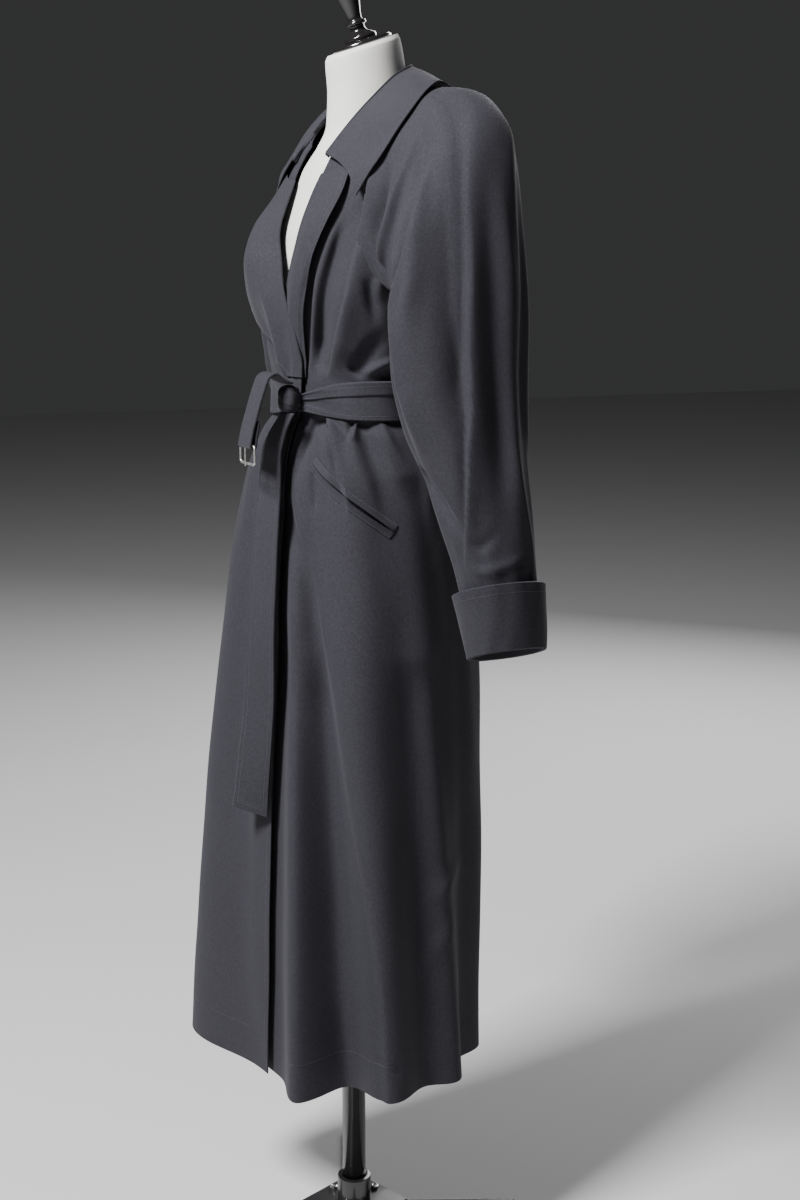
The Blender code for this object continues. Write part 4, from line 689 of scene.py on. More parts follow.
def coat_normal(angle, height, right_front=False):
    def place(turned, raised):
        return coat_point(angle + turned, height + raised, 0, right_front)

    turn, climb = 0.5, 0.002
    return unit(np.cross(place(turn, 0) - place(-turn, 0), place(0, climb) - place(0, -climb)))


# ---------------------------------------------------------------------------
# Meshes
# ---------------------------------------------------------------------------
def grid_normals(grid, closed=False):
    if closed:
        around = np.roll(grid, -1, axis=1) - np.roll(grid, 1, axis=1)
    else:
        around = np.gradient(grid, axis=1)
    return unit(np.cross(around, np.gradient(grid, axis=0)))


def grid_faces(rows, columns, closed, start=0, turned=False):
    spans = columns if closed else columns - 1
    r, c = np.meshgrid(np.arange(rows - 1), np.arange(spans), indexing="ij")
    a, b = r * columns + c, r * columns + (c + 1) % columns
    faces = np.stack([a, b, b + columns, a + columns], axis=-1).reshape(-1, 4) + start
    return faces[:, ::-1] if turned else faces


def runs_along(points):
    """Lengths from the first point to each point of lines, one line a row."""
    step = np.linalg.norm(np.diff(points, axis=1), axis=-1)
    return np.concatenate([np.zeros((len(points), 1)), np.cumsum(step, axis=1)], axis=1)


def lengths_of(grid):
    """Lengths along the cloth of each point, round and up, in metres."""
    around = runs_along(grid)
    around -= around[:, -1:] / 2
    rise = np.linalg.norm(np.diff(grid, axis=0), axis=-1).mean(axis=1)
    up = np.concatenate([[0.0], np.cumsum(rise)])
    return around, np.broadcast_to(up[:, None], around.shape)


def make_object(name, points, faces, body="root", place=None):
    """A mesh of points and faces that rides on a body, with its lengths as a UV map."""
    mesh = bpy.data.meshes.new(name)
    mesh.from_pydata([tuple(p) for p in points], [], [tuple(f) for f in faces])
    if place is not None:
        layer = mesh.uv_layers.new(name="cloth")
        corners = np.zeros(len(mesh.loops), np.int32)
        mesh.loops.foreach_get("vertex_index", corners)
        layer.data.foreach_set("uv", np.asarray(place, np.float32)[corners].ravel())
    shape = bmesh.new()
    shape.from_mesh(mesh)
    if shape.calc_volume(signed=True) < 0:
        bmesh.ops.reverse_faces(shape, faces=shape.faces)
    shape.to_mesh(mesh)
    shape.free()
    mesh.shade_smooth()
    obj = bpy.data.objects.new(name, mesh)
    bpy.context.scene.collection.objects.link(obj)
    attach(obj, body)
    return obj


def sharpen_rims(mesh, count):
    """Marks the edges between a wall's two sides, count faces each, and its rims as sharp."""
    sizes, edges = np.zeros(len(mesh.polygons), np.int32), np.zeros(len(mesh.loops), np.int32)
    mesh.polygons.foreach_get("loop_total", sizes)
    mesh.loops.foreach_get("edge_index", edges)
    kind = np.repeat(np.minimum(np.arange(len(sizes)) // count, 2), sizes)
    least, most = np.full(len(mesh.edges), 9), np.full(len(mesh.edges), -1)
    np.minimum.at(least, edges, kind)
    np.maximum.at(most, edges, kind)
    mesh.edges.foreach_set("use_edge_sharp", least != most)


def cloth_wall(name, outer, inner, closed=False):
    """A thin wall between two point grids, with a rounded rim round its open edges."""
    rows, columns = outer.shape[:2]
    middle = (outer + inner) / 2
    thick = np.linalg.norm(outer - inner, axis=-1, keepdims=True)
    ends = [middle[row] + RIM_ROUND * thick[row] * unit(middle[row] - middle[beyond])
            for row, beyond in ((0, 1), (rows - 1, rows - 2))]
    points = [outer.reshape(-1, 3), inner.reshape(-1, 3), *ends]
    count = rows * columns
    around, up = lengths_of(outer)
    flat = np.stack([around, up], axis=-1)
    place = [flat.reshape(-1, 2), flat.reshape(-1, 2) + INSIDE_SHIFT, flat[0], flat[-1]]
    faces = [grid_faces(rows, columns, closed), grid_faces(rows, columns, closed, count, True)]
    spans = columns if closed else columns - 1
    c = np.arange(spans)
    after = (c + 1) % columns
    low, high = 2 * count, 2 * count + columns
    top = (rows - 1) * columns
    faces.append(np.stack([low + c, low + after, after, c], axis=-1))
    faces.append(np.stack([count + c, count + after, low + after, low + c], axis=-1))
    faces.append(np.stack([top + c, top + after, high + after, high + c], axis=-1))
    faces.append(np.stack([high + c, high + after, count + top + after, count + top + c], axis=-1))
    corners = []
    if not closed:
        start = high + columns
        r = np.arange(rows - 1)
        for column, beyond, flip in ((0, 1, False), (columns - 1, columns - 2, True)):
            outwards = unit(middle[:, column] - middle[:, beyond])
            points.append(middle[:, column] + RIM_ROUND * thick[:, column] * outwards)
            place.append(flat[:, column])
            here, there = r * columns + column, (r + 1) * columns + column
            strips = [np.stack([here, there, start + r + 1, start + r], axis=-1),
                      np.stack([start + r, start + r + 1, count + there, count + here], axis=-1)]
            faces += [s[:, ::-1] if flip else s for s in strips]
            for row, end in ((0, low), (rows - 1, high)):
                at, mid, rim = row * columns + column, end + column, start + row
                turn = flip != (row == 0)
                for three in ((at, rim, mid), (rim, count + at, mid)):
                    corners.append(three if turn else three[::-1])
            start += rows
    flat_faces = len(faces[0])
    every = [tuple(f) for block in faces for f in block.tolist()] + corners
    obj = make_object(name, np.concatenate(points), every, place=np.concatenate(place))
    obj["rows"], obj["columns"], obj["closed"] = rows, columns, closed
    sharpen_rims(obj.data, flat_faces)
    return obj


def lathe(name, profile, place, body="root", steps=64, tilt=None):
    """A profile (radius, height), from its top down its outside, turned about its own axis."""
    turn = np.linspace(0, 2 * math.pi, steps + 1)[:-1]
    points, rings = [], []
    for radius, height in profile:
        if radius < 1e-6:
            rings.append([len(points)])
            points.append((0.0, 0.0, height))
        else:
            rings.append(list(range(len(points), len(points) + steps)))
            points += [(radius * math.cos(t), radius * math.sin(t), height) for t in turn]
    faces = []
    for upper, lower in zip(rings, rings[1:]):
        for k in range(steps):
            n = (k + 1) % steps
            if len(upper) == 1:
                faces.append((upper[0], lower[k], lower[n]))
            elif len(lower) == 1:
                faces.append((upper[k], lower[0], upper[n]))
            else:
                faces.append((upper[k], lower[k], lower[n], upper[n]))
    matrix = Matrix.Translation(place) @ (tilt or Matrix.Identity(4))
    return make_object(name, [matrix @ Vector(p) for p in points], faces, body)


def rounded_profile(profile, fineness=5):
    """The profile with a smooth line through its points."""
    points = np.array(profile)
    last = len(points) - 1
    return [tuple(p) for p in through(points, np.linspace(0, last, fineness * last + 1))]


def wire(name, points, radius, cyclic, body, sides=14):
    """A round wire along points."""
    points = np.array(points)
    count = len(points)
    if cyclic:
        tangent = unit(np.roll(points, -1, axis=0) - np.roll(points, 1, axis=0))
    else:
        tangent = unit(np.gradient(points, axis=0))
    span = points - points.mean(axis=0)
    flat = unit(np.linalg.svd(span)[2][2])
    side = unit(np.cross(tangent, flat))
    turn = np.linspace(0, 2 * math.pi, sides + 1)[:-1]
    cosine, sine = np.cos(turn)[None, :, None], np.sin(turn)[None, :, None]
    rings = points[:, None] + radius * (cosine * side[:, None] + sine * flat)
    if not cyclic:
        caps = []
        for end, way in ((0, -1), (-1, 1)):
            for share in (0.5, 0.85, 0.98):
                centre = points[end] + way * tangent[end] * radius * share
                caps.append(centre + (rings[end] - points[end]) * math.sqrt(1 - share**2))
        rings = np.concatenate([caps[2::-1], rings, caps[3:]])
        count = len(rings)
    faces = []
    for r in range(count if cyclic else count - 1):
        n = (r + 1) % count
        for c in range(sides):
            e = (c + 1) % sides
            faces.append((r * sides + c, r * sides + e, n * sides + e, n * sides + c))
    if not cyclic:
        faces += [tuple(reversed(range(sides))), tuple(range((count - 1) * sides, count * sides))]
    return make_object(name, rings.reshape(-1, 3), faces, body)


# ---------------------------------------------------------------------------
# Materials
# ---------------------------------------------------------------------------
STEEL_COLOUR, BUCKLE_COLOUR = (0.55, 0.55, 0.56), (0.50, 0.49, 0.47)
GLOSS_SPREAD = 0.10


def feed(tree, socket, value):
    """Joins an output to an input, or sets the input to a plain value."""
    if isinstance(value, bpy.types.NodeSocket):
        tree.links.new(value, socket)
    else:
        socket.default_value = value


def add_node(tree, kind, **values):
    """A node with its inputs and settings filled; an underscore stands for an input's space."""
    node = tree.nodes.new(kind)
    for key, value in values.items():
        name = key.replace("_", " ")
        if name in node.inputs:
            feed(tree, node.inputs[name], value)
        else:
            setattr(node, key, value)
    return node


class Nodes:
    """Short ways to build a material's nodes."""

    def __init__(self, name):
        self.material = bpy.data.materials.new(name)
        self.material.use_nodes = True
        self.tree = self.material.node_tree
        self.solid = self.add("ShaderNodeTexCoord").outputs["Object"]

    def add(self, kind, **values):
        return add_node(self.tree, kind, **values)

    def scaled(self, vector, scale, turn=0.0):
        return self.add("ShaderNodeMapping", Vector=vector, Scale=scale,
                        Rotation=(0.0, 0.0, turn)).outputs["Vector"]

    def noise(self, vector, scale, detail=3.0, roughness=0.6):
        return self.add("ShaderNodeTexNoise", Vector=vector, Scale=scale, Detail=detail,
                        Roughness=roughness).outputs["Fac"]

    def wave(self, vector, scale, direction="X", distortion=0.0):
        return self.add("ShaderNodeTexWave", Vector=vector, Scale=scale, Distortion=distortion,
                        bands_direction=direction).outputs["Fac"]

    def span(self, value, low, high):
        return self.add("ShaderNodeMapRange", Value=value, To_Min=low, To_Max=high).outputs["Result"]

    def blend(self, factor, first, second):
        node = self.add("ShaderNodeMix", data_type="RGBA", Factor=factor)
        feed(self.tree, node.inputs[6], first)
        feed(self.tree, node.inputs[7], second)
        return node.outputs[2]

    def bump(self, height, distance, strength=1.0, **below):
        return self.add("ShaderNodeBump", Strength=strength, Distance=distance, Height=height,
                        **below).outputs["Normal"]

    def finish(self, **values):
        """The material, with its shader's inputs fed."""
        shader = self.tree.nodes["Principled BSDF"]
        for key, value in values.items():
            feed(self.tree, shader.inputs[key.replace("_", " ")], value)
        return self.material


def tint(colour, share):
    return (colour[0] * share, colour[1] * share, colour[2] * share, 1.0)


def coat_cloth(name, colour, sheen):
    """Worsted twill: fine slanting ribs, short fibres on top and slow mottling."""
    made = Nodes(name)
    where = made.add("ShaderNodeUVMap", uv_map="cloth").outputs["UV"]
    ribs = made.wave(made.scaled(where, (1.0, 1.0, 1.0), math.radians(58)), 300.0, distortion=0.4)
    fibres = made.noise(made.solid, 900.0, 4.0, 0.7)
    slub = made.noise(made.scaled(where, (1.0, 0.18, 1.0)), 500.0, 2.0)
    patches = made.noise(made.solid, 16.0, 3.0, 0.55)
    specks = made.noise(made.solid, 340.0, 2.0, 0.8)
    low = made.blend(made.span(fibres, 0.0, 1.0), tint(colour, 0.80), tint(colour, 1.22))
    worn = made.blend(made.span(patches, -0.2, 1.2), low, tint(colour, 1.10))
    mottled = made.blend(made.span(slub, -0.6, 0.9), worn, tint(colour, 1.30))
    return made.finish(
        Base_Color=made.blend(made.span(specks, -0.9, 1.3), mottled, tint(colour, 2.0)),
        Roughness=made.span(fibres, 0.74, 0.94), Specular_IOR_Level=0.30,
        Normal=made.bump(fibres, 0.00030, 0.55, Normal=made.bump(ribs, 0.00012, 0.6)),
        Sheen_Weight=sheen, Sheen_Roughness=0.45, Sheen_Tint=(0.72, 0.72, 0.80, 1.0))


def thread(name, colour):
    made = Nodes(name)
    twist = made.noise(made.solid, 2500.0, 2.0)
    return made.finish(Base_Color=made.blend(twist, tint(colour, 0.8), tint(colour, 1.5)),
                       Normal=made.bump(twist, 0.0002, 0.5), Roughness=0.55, Sheen_Weight=0.2)


def form_cover(name, colour):
    """Plain-woven cotton stretched over the form, a little uneven and off-white."""
    made = Nodes(name)
    across = made.wave(made.scaled(made.solid, (1.0, 1.0, 0.0)), 260.0, distortion=0.6)
    upward = made.wave(made.scaled(made.solid, (0.0, 0.0, 1.0)), 260.0, "Z", 0.6)
    grain = made.noise(made.solid, 700.0, 3.0, 0.6)
    stain = made.noise(made.solid, 9.0, 4.0, 0.6)
    base = made.blend(made.span(stain, -0.3, 1.2), tint(colour, 1.02), tint(colour, 0.90))
    weave = made.bump(upward, 0.00010, 0.35, Normal=made.bump(across, 0.00010, 0.35))
    return made.finish(Base_Color=made.blend(made.span(grain, 0.0, 0.7), base, tint(colour, 0.93)),
                       Normal=made.bump(grain, 0.00015, 0.4, Normal=weave), Roughness=0.85, Sheen_Weight=0.15)


def hard_finish(name, colour, roughness, metallic=0.0, coat=0.0, grain=300.0, depth=0.00005):
    """Metal, paint or lacquer with faint orange peel and uneven gloss."""
    made = Nodes(name)
    rub = made.noise(made.solid, 22.0, 4.0, 0.65)
    return made.finish(
        Base_Color=made.blend(made.span(rub, 0.0, 1.0), tint(colour, 0.85), tint(colour, 1.15)),
        Roughness=made.span(rub, roughness - GLOSS_SPREAD / 2, roughness + GLOSS_SPREAD / 2),
        Normal=made.bump(made.noise(made.solid, grain, 3.0), depth, 0.5),
        Metallic=metallic, Coat_Weight=coat, Coat_Roughness=0.06)


def finish_of(name):
    """The named finish, made once from the settings."""
    if name in bpy.data.materials:
        return bpy.data.materials[name]
    coat, stand = bpy.context.scene.coat_looks, bpy.context.scene.stand_looks
    return {
        "coat_twill": lambda: coat_cloth(name, coat.cloth_colour, coat.sheen),
        "coat_thread": lambda: thread(name, coat.thread_colour),
        "form_cotton": lambda: form_cover(name, stand.cover_colour),
        "black_lacquer": lambda: hard_finish(name, stand.lacquer_colour, 0.20, coat=0.8, grain=120.0),
        "black_paint": lambda: hard_finish(name, stand.paint_colour, 0.26, coat=0.5, grain=180.0),
        "cast_paint": lambda: hard_finish(name, stand.paint_colour, 0.42, coat=0.1, grain=900.0, depth=0.00025),
        "bolt_steel": lambda: hard_finish(name, STEEL_COLOUR, 0.22, metallic=1.0),
        "buckle_metal": lambda: hard_finish(name, BUCKLE_COLOUR, 0.24, metallic=1.0, grain=500.0),
    }[name]()


def dress(obj, finish):
    obj.data.materials.clear()
    obj.data.materials.append(finish_of(finish))
    return obj


def cloth_sheet(obj, grid, closed, nodes):
    """Dresses the cloth in twill and hides the parts that it replaces; the cut's unrolled width and length are
    worked out but not used.
    """
    loop = np.concatenate([grid, grid[:, :1]], axis=1) if closed else grid
    across = np.linalg.norm(np.diff(loop, axis=1), axis=-1)
    upward = np.linalg.norm(np.diff(loop, axis=0), axis=-1)
    width, length = float(across.sum(axis=1).max()), float(upward.sum(axis=0).max())
    width, length = max(width, SMALLEST_CUT), max(length, SMALLEST_CUT)
    dress(obj, "coat_twill")
    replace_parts(obj, *nodes)
    return obj


# ---------------------------------------------------------------------------
# Grids of the coat's pieces
# ---------------------------------------------------------------------------
def gap_angle(height, angle, gap):
    return np.degrees(gap / ring_radius(COAT_RINGS, angle, height))


def seam_angle(height, side, behind):
    raglan = from_table(RAGLANS, "height", "back" if behind else "front", height)
    angle = np.where(height > UNDERARM_HEIGHT, raglan, SIDE_SEAM)
    gap = np.where(height > UNDERARM_HEIGHT - 0.001, YOKE_GAP * SEAM_GAP, SIDE_GAP * SEAM_GAP)
    away = gap_angle(height, side * angle, gap)
    return side * (angle + (away if behind else -away))


def panel_grid(first, last, columns, right_front):
    stops = (HEM_HEIGHT, HIP_HEIGHT, WAIST_HEIGHT - BELT_BAND, WAIST_HEIGHT + BELT_BAND,
             UNDERARM_HEIGHT, NECK_HEIGHT)
    heights = stepped(stops, PANEL_ROWS)
    share = np.linspace(0, 1, columns + 1)
    angles = first(heights)[:, None] * (1 - share) + last(heights)[:, None] * share
    level = np.broadcast_to(heights[:, None], angles.shape)
    outer = coat_point(angles, level, 0.0, right_front)
    return outer, outer - CLOTH * grid_normals(outer)


def loop_layout(yoke_steps=54, arc_steps=18):
    """The sleeve's points round the raglan seam: place round the sleeve, body angle and height."""
    heights = np.linspace(UNDERARM_HEIGHT, NECK_HEIGHT, yoke_steps + 1)
    front = from_table(RAGLANS, "height", "front", heights)
    back = from_table(RAGLANS, "height", "back", heights)
    arc = np.linspace(0, 1, arc_steps + 1)
    run = np.linspace(0, 1, yoke_steps + 1)[1:]
    around = np.concatenate([-NECK_ARC + 2 * NECK_ARC * arc, NECK_ARC + (180 - NECK_ARC) * run,
                             180 + (180 - NECK_ARC) * run[:-1]])
    angle = np.concatenate([front[-1] + (back[-1] - front[-1]) * arc, back[::-1][1:], front[1:-1]])
    height = np.concatenate([np.full(arc_steps + 1, heights[-1]), heights[::-1][1:], heights[1:-1]])
    return around, angle, height


def sleeve_ring(side, around, ring, lift=0.0):
    """Points round a sleeve at a ring number, which may lie between two rings."""
    numbers = np.arange(len(SLEEVE_RINGS))
    top_x, top_z, under_x, under_z, middle_y, skew, half_depth = (
        smooth_curve(numbers, column, ring) for column in zip(*SLEEVE_RINGS))
    aft, up = (squared_off(part, 2 / SLEEVE_SQUARE)[:, None] for part in sine_cosine(around))
    middle = np.array([(top_x + under_x) / 2, middle_y, (top_z + under_z) / 2])
    to_top = np.array([(top_x - under_x) / 2, skew, (top_z - under_z) / 2])
    points = middle + up * to_top + aft * np.array([0.0, half_depth, 0.0])
    proud = np.full_like(around, lift, dtype=float)
    for crease in SLEEVE_CREASES:
        along = (ring - crease.first) / (crease.last - crease.first)
        if 0 < along < 1:
            centre = crease.shoulder + (crease.wrist - crease.shoulder) * ring / LAST_RING
            proud += crease.depth * math.sin(math.pi * along) ** 0.8 * bump(around, centre, crease.width)
    for crease in FINE_SLEEVE_CREASES:
        along = (ring - crease.ring) / (crease.end_ring - crease.ring)
        if 0 < along < 1:
            centre = crease.around + (crease.end_around - crease.around) * along
            swell = CREASE_STRENGTH * crease.depth * math.sin(math.pi * along) ** 0.8
            proud += swell * bump(around, centre, crease.width)
    proud += fold_height(SLEEVE_FOLDS, around, np.full_like(proud, ring), SLEEVE_ROUND, -SLEEVE_RUN)
    level = np.full_like(around, ring / LAST_RING * SLEEVE_SPAN)
    proud += waviness(around, level, SLEEVE_WAVE, SLEEVE_SEED) * ease(ring)
    points = points + proud[:, None] * unit(points - middle)
    if side < 0:
        points[:, 1] += RIGHT_ARM_BACK * ease(ring / ARM_BACK_FULL)
    return points * np.array([side, 1.0, 1.0])


def sleeve_grid(side, rows=176):
    around, angle, height = loop_layout()
    seam = coat_point(side * angle, height, 0.0, side < 0)
    first, second = sleeve_ring(side, around, 0.0), sleeve_ring(side, around, 1.0)
    start, end = first - seam, (second - seam) / 2
    grid = []
    for t in np.linspace(0, 1, JOIN_ROWS + 1)[:-1]:
        grid.append((1 + 2 * t) * (1 - t) ** 2 * seam + t * (1 - t) ** 2 * start
                    + t**2 * (3 - 2 * t) * first + t**2 * (t - 1) * end)
    grid += [sleeve_ring(side, around, ring) for ring in np.linspace(0, LAST_RING, rows)]
    outer = np.array(grid)
    normals = side * -1.0 * grid_normals(outer, closed=True)
    seam_normals = coat_normal(side * angle, height, side < 0)
    under = bump(around, 180.0, UNDERARM_WIDTH)[:, None]
    fade = ease(1 - np.arange(len(outer)) / STEER_ROWS)[:, None, None]
    steered = unit(seam_normals * (1 - UNDERARM_SHARE * under) + normals[0] * UNDERARM_SHARE * under)
    normals = unit(normals * (1 - fade) + steered * fade)
    return outer, outer - CLOTH * normals


# ---------------------------------------------------------------------------
# Settings
# ---------------------------------------------------------------------------
class CoatLooks(PropertyGroup):
    """Colours and sewing of the coat."""

    cloth_colour: FloatVectorProperty(
        name="Cloth colour", description="Base colour of the twill", subtype="COLOR",
        default=(0.0172, 0.0165, 0.0220), min=0.0, max=1.0)
    sheen: FloatProperty(
        name="Sheen", description="How strongly the nap catches light", default=0.07, min=0.0, max=1.0,
        subtype="FACTOR")
    thread_colour: FloatVectorProperty(
        name="Thread colour", description="Colour of the topstitching", subtype="COLOR",
        default=(0.026, 0.0252, 0.0320), min=0.0, max=1.0)
    stitch_pitch: FloatProperty(
        name="Stitch pitch", description="Length of a stitch and the gap after it", default=0.0034,
        min=0.001, max=0.02, subtype="DISTANCE", unit="LENGTH")
    stitch_length: FloatProperty(
        name="Stitch length", description="Length of the thread that shows", default=0.0026,
        min=0.0005, max=0.02, subtype="DISTANCE", unit="LENGTH")
    thread_width: FloatProperty(
        name="Thread width", description="Thickness of the thread", default=0.0007,
        min=0.0002, max=0.003, subtype="DISTANCE", unit="LENGTH")


class StandLooks(PropertyGroup):
    """Colours of the dress form and its stand."""

    cover_colour: FloatVectorProperty(
        name="Cover colour", description="Cotton cover of the form", subtype="COLOR",
        default=(0.74, 0.73, 0.70), min=0.0, max=1.0)
    lacquer_colour: FloatVectorProperty(
        name="Lacquer colour", description="Neck cap and finial", subtype="COLOR",
        default=(0.010, 0.009, 0.009), min=0.0, max=1.0)
    paint_colour: FloatVectorProperty(
        name="Paint colour", description="Pole and foot", subtype="COLOR",
        default=(0.016, 0.016, 0.017), min=0.0, max=1.0)


class StageLooks(PropertyGroup):
    """The floor and the light."""

    floor_colour: FloatVectorProperty(
        name="Floor colour", description="Plain pale floor", subtype="COLOR",
        default=(0.62, 0.62, 0.62), min=0.0, max=1.0)
    key_power: FloatProperty(
        name="Key light", description="Power of the main light", default=330.0, min=0.0)
    fill_power: FloatProperty(
        name="Fill light", description="Power of the wide light behind", default=95.0, min=0.0)
    world_light: FloatProperty(
        name="Room light", description="Strength of the light all round", default=0.04, min=0.0)


# ---------------------------------------------------------------------------
# Operators
# ---------------------------------------------------------------------------
class COAT_OT_panels(Operator):
    """Fronts and back"""

    bl_idname = "coat.panels"
    bl_label = "Fronts and back"

    def execute(self, context):
        def edge(name):
            return lambda height: from_table(FRONT_EDGES, "height", name, height)

        pieces = (
            ("front_left", edge("left"), lambda h: seam_angle(h, 1, False), 112, False),
            ("front_right", lambda h: seam_angle(h, -1, False), edge("right"), 104, True),
            ("back", lambda h: seam_angle(h, 1, True), lambda h: 360 + seam_angle(h, -1, True), 136, False),
        )
        for name, first, last, columns, right in pieces:
            outer, inner = panel_grid(first, last, columns, right)
            obj = cloth_wall(name + "_cloth", outer, inner)
            cloth_sheet(obj, outer, False, [name])
        return {"FINISHED"}


class COAT_OT_sleeves(Operator):
    """Raglan sleeves and their turned-up cuffs"""

    bl_idname = "coat.sleeves"
    bl_label = "Sleeves and cuffs"

    def execute(self, context):
        around = loop_layout()[0]
        for side, word in ((1, "left"), (-1, "right")):
            outer, inner = sleeve_grid(side)
            obj = cloth_wall("sleeve_%s_cloth" % word, outer, inner, closed=True)
            cloth_sheet(obj, outer, True, ["sleeve_" + word])
            rings = np.linspace(CUFF_RING, LAST_RING, 30)
            stands = LAY_GAP + CUFF_FLARE * (LAST_RING - rings) / (LAST_RING - CUFF_RING)
            inner = np.array([sleeve_ring(side, around, r, s) for r, s in zip(rings, stands)])
            outer = np.array([sleeve_ring(side, around, r, s + DOUBLE_CLOTH) for r, s in zip(rings, stands)])
            obj = cloth_wall("cuff_%s_cloth" % word, outer, inner, closed=True)
            cloth_sheet(obj, outer, True, ["cuff_" + word])
        return {"FINISHED"}


def lapel_grid(side, rows=90, columns=34):
    """The turned-out top of a front, from its roll line to its outer edge."""
    word = "left" if side > 0 else "right"
    heights = np.linspace(LAPELS[0].height, LAPELS[-1].height, rows)
    roll = from_table(FRONT_EDGES, "height", word, heights)
    edge = from_table(LAPELS, "height", word + "_edge", heights)
    lift = from_table(LAPELS, "height", word + "_lift", heights)
    share = np.linspace(0, 1, columns + 1)
    past = roll - side * gap_angle(heights, roll, ROLL_PAST)
    angles = past[:, None] * (1 - share) + edge[:, None] * share
    level = np.broadcast_to(heights[:, None], angles.shape)
    stand = LAY_GAP + lift[:, None] * ease(share / LAPEL_RISE)[None, :]
    right = side < 0
    turned = np.linspace(math.pi, 0, ROLL_STEPS + 1)[:-1]
    bent_level = np.broadcast_to(heights[:, None], (rows, ROLL_STEPS))
    faces = []
    for face, thick in ((LAY_GAP / 2 + CLOTH, CLOTH), (LAY_GAP / 2, 0.0)):
        bent = past[:, None] - side * gap_angle(heights, roll, 1.0)[:, None] * face * np.sin(turned)
        bend = coat_point(bent, bent_level, LAY_GAP / 2 + face * np.cos(turned), right)
        faces.append(np.concatenate([bend, coat_point(angles, level, stand + thick, right)], axis=1))
    return faces


class COAT_OT_lapels(Operator):
    """Lapels turned out from the fronts"""

    bl_idname = "coat.lapels"
    bl_label = "Lapels"

    def execute(self, context):
        for side, word in ((1, "left"), (-1, "right")):
            outer, inner = lapel_grid(side)
            obj = cloth_wall("lapel_%s_cloth" % word, outer, inner)
            cloth_sheet(obj, outer, False, ["lapel_" + word])
        return {"FINISHED"}


def shortfall(point, way, trees, gap):
    """How far a point must move along way to clear what these trees hold."""
    start = Vector(point + CLEAR_REACH * way)
    short = 0.0
    for tree in trees:
        hit = tree.ray_cast(start, Vector(-way), CLEAR_REACH + gap)[0]
        if hit is not None:
            short = max(short, (np.array(hit) + gap * way - point) @ way)
    return short


def clear_of(points, way, pieces, gap):
    """Moves a grid of points along a way until it and the faces between them clear the pieces."""
    trees = [BVHTree.FromPolygons([v.co for v in piece.data.vertices],
                                  [p.vertices for p in piece.data.polygons]) for piece in pieces]
    rows, columns = points.shape[:2]
    moved = points.copy()
    for row, column in np.ndindex(rows, columns):
        here, out = points[row, column], way[row, column]
        needs = [shortfall(here, out, trees, gap)]
        for next_row in range(max(row - 1, 0), min(row + 2, rows)):
            for next_column in range(max(column - 1, 0), min(column + 2, columns)):
                there = points[next_row, next_column]
                needs += [shortfall(here + t * (there - here), out, trees, gap) for t in (0.25, 0.5)]
        moved[row, column] += max(needs) * out
    return moved


def collar_value(name, share):
    stations = [row.share for row in COLLAR]
    values = np.array([np.atleast_1d(getattr(row, name)) for row in COLLAR])
    return np.array([smooth_curve(stations, values[:, i], share) for i in range(values.shape[1])])


def collar_grid(pieces):
    """The collar's middle layer, seam to outer edge, from the left front end to the right one."""
    columns = []
    for share in np.linspace(0, 1, COLLAR_COLUMNS + 1):
        angle, height = collar_value("seam_angle", share)[0], collar_value("seam_height", share)[0]
        fold, edge = collar_value("fold", share), collar_value("edge", share)
        on_coat = coat_point(angle, height, -CLOTH / 2)
        seam = on_coat + COLLAR_SEAM * unit(fold - on_coat)
        outwards = unit((edge - fold) * np.array([1.0, 1.0, 0.0]))
        inner_fold, outer_fold = fold - FOLD_RADIUS * outwards, fold + FOLD_RADIUS * outwards
        columns.append([
            seam, seam * STAND_SHARES[0] + inner_fold * STAND_SHARES[1], inner_fold, fold + FOLD_RADIUS * UP,
            outer_fold, *(outer_fold + part * (edge - outer_fold) + COLLAR_BOW * UP for part in FALL_SHARES),
            edge,
        ])
    half = np.array(columns).transpose(1, 0, 2)
    other = half[:, -2::-1] * np.array([-1.0, 1.0, 1.0])
    grid = np.concatenate([half, other], axis=1)
    way = unit((grid[-1] - grid[2]) * np.array([1.0, 1.0, 0.0]))
    way = unit(LAY_WAY[0] * way + LAY_WAY[1] * UP)
    grid[4:] = clear_of(grid[4:], np.repeat(way[None], 4, axis=0), pieces, COLLAR_LAY + CLOTH / 2)
    middle = COLLAR_COLUMNS
    at_front = ease((1 - np.arange(2 * middle + 1) / middle - FRONT_FROM) / FRONT_SPAN)
    for row, part in LIFTED_ROWS:
        grid[row] += (FRONT_LIFT * part * at_front)[:, None] * way
    fine = through(grid, stepped(COLLAR_STOPS, COLLAR_STEPS)).transpose(1, 0, 2)
    return through(fine, np.linspace(0, grid.shape[1] - 1, COLLAR_LENGTH)).transpose(1, 0, 2)


class COAT_OT_collar(Operator):
    """Collar: stand and fall in one folded cloth"""

    bl_idname = "coat.collar"
    bl_label = "Collar"

    def execute(self, context):
        names = ("front_left", "front_right", "back", "sleeve_left", "sleeve_right", "lapel_left",
                 "lapel_right")
        grid = collar_grid([bpy.data.objects[name + "_cloth"] for name in names])
        thick = 0.5 * CLOTH * grid_normals(grid)
        obj = cloth_wall("collar_cloth", grid + thick, grid - thick)
        cloth_sheet(obj, grid, False, ["collar"])
        return {"FINISHED"}


def pocket_places(side, across):
    """Angles and heights of a line beside a pocket's middle line, across metres below it."""
    shares = np.linspace(0, 1, MOUTH_STEPS + 1)
    angle = from_table(POCKET_LINE, "share", "angle", shares)
    height = from_table(POCKET_LINE, "share", "height", shares)
    line = coat_point(side * angle, height, 0.0, side < 0)
    slope = np.gradient(line, axis=0)
    size = np.linalg.norm(slope, axis=1)
    radius = np.linalg.norm(line[:, :2], axis=1)
    level = np.linalg.norm(slope[:, :2], axis=1) / size
    drop = -slope[:, 2] / size
    return side * (angle - np.degrees(drop * across / radius)), height - level * across


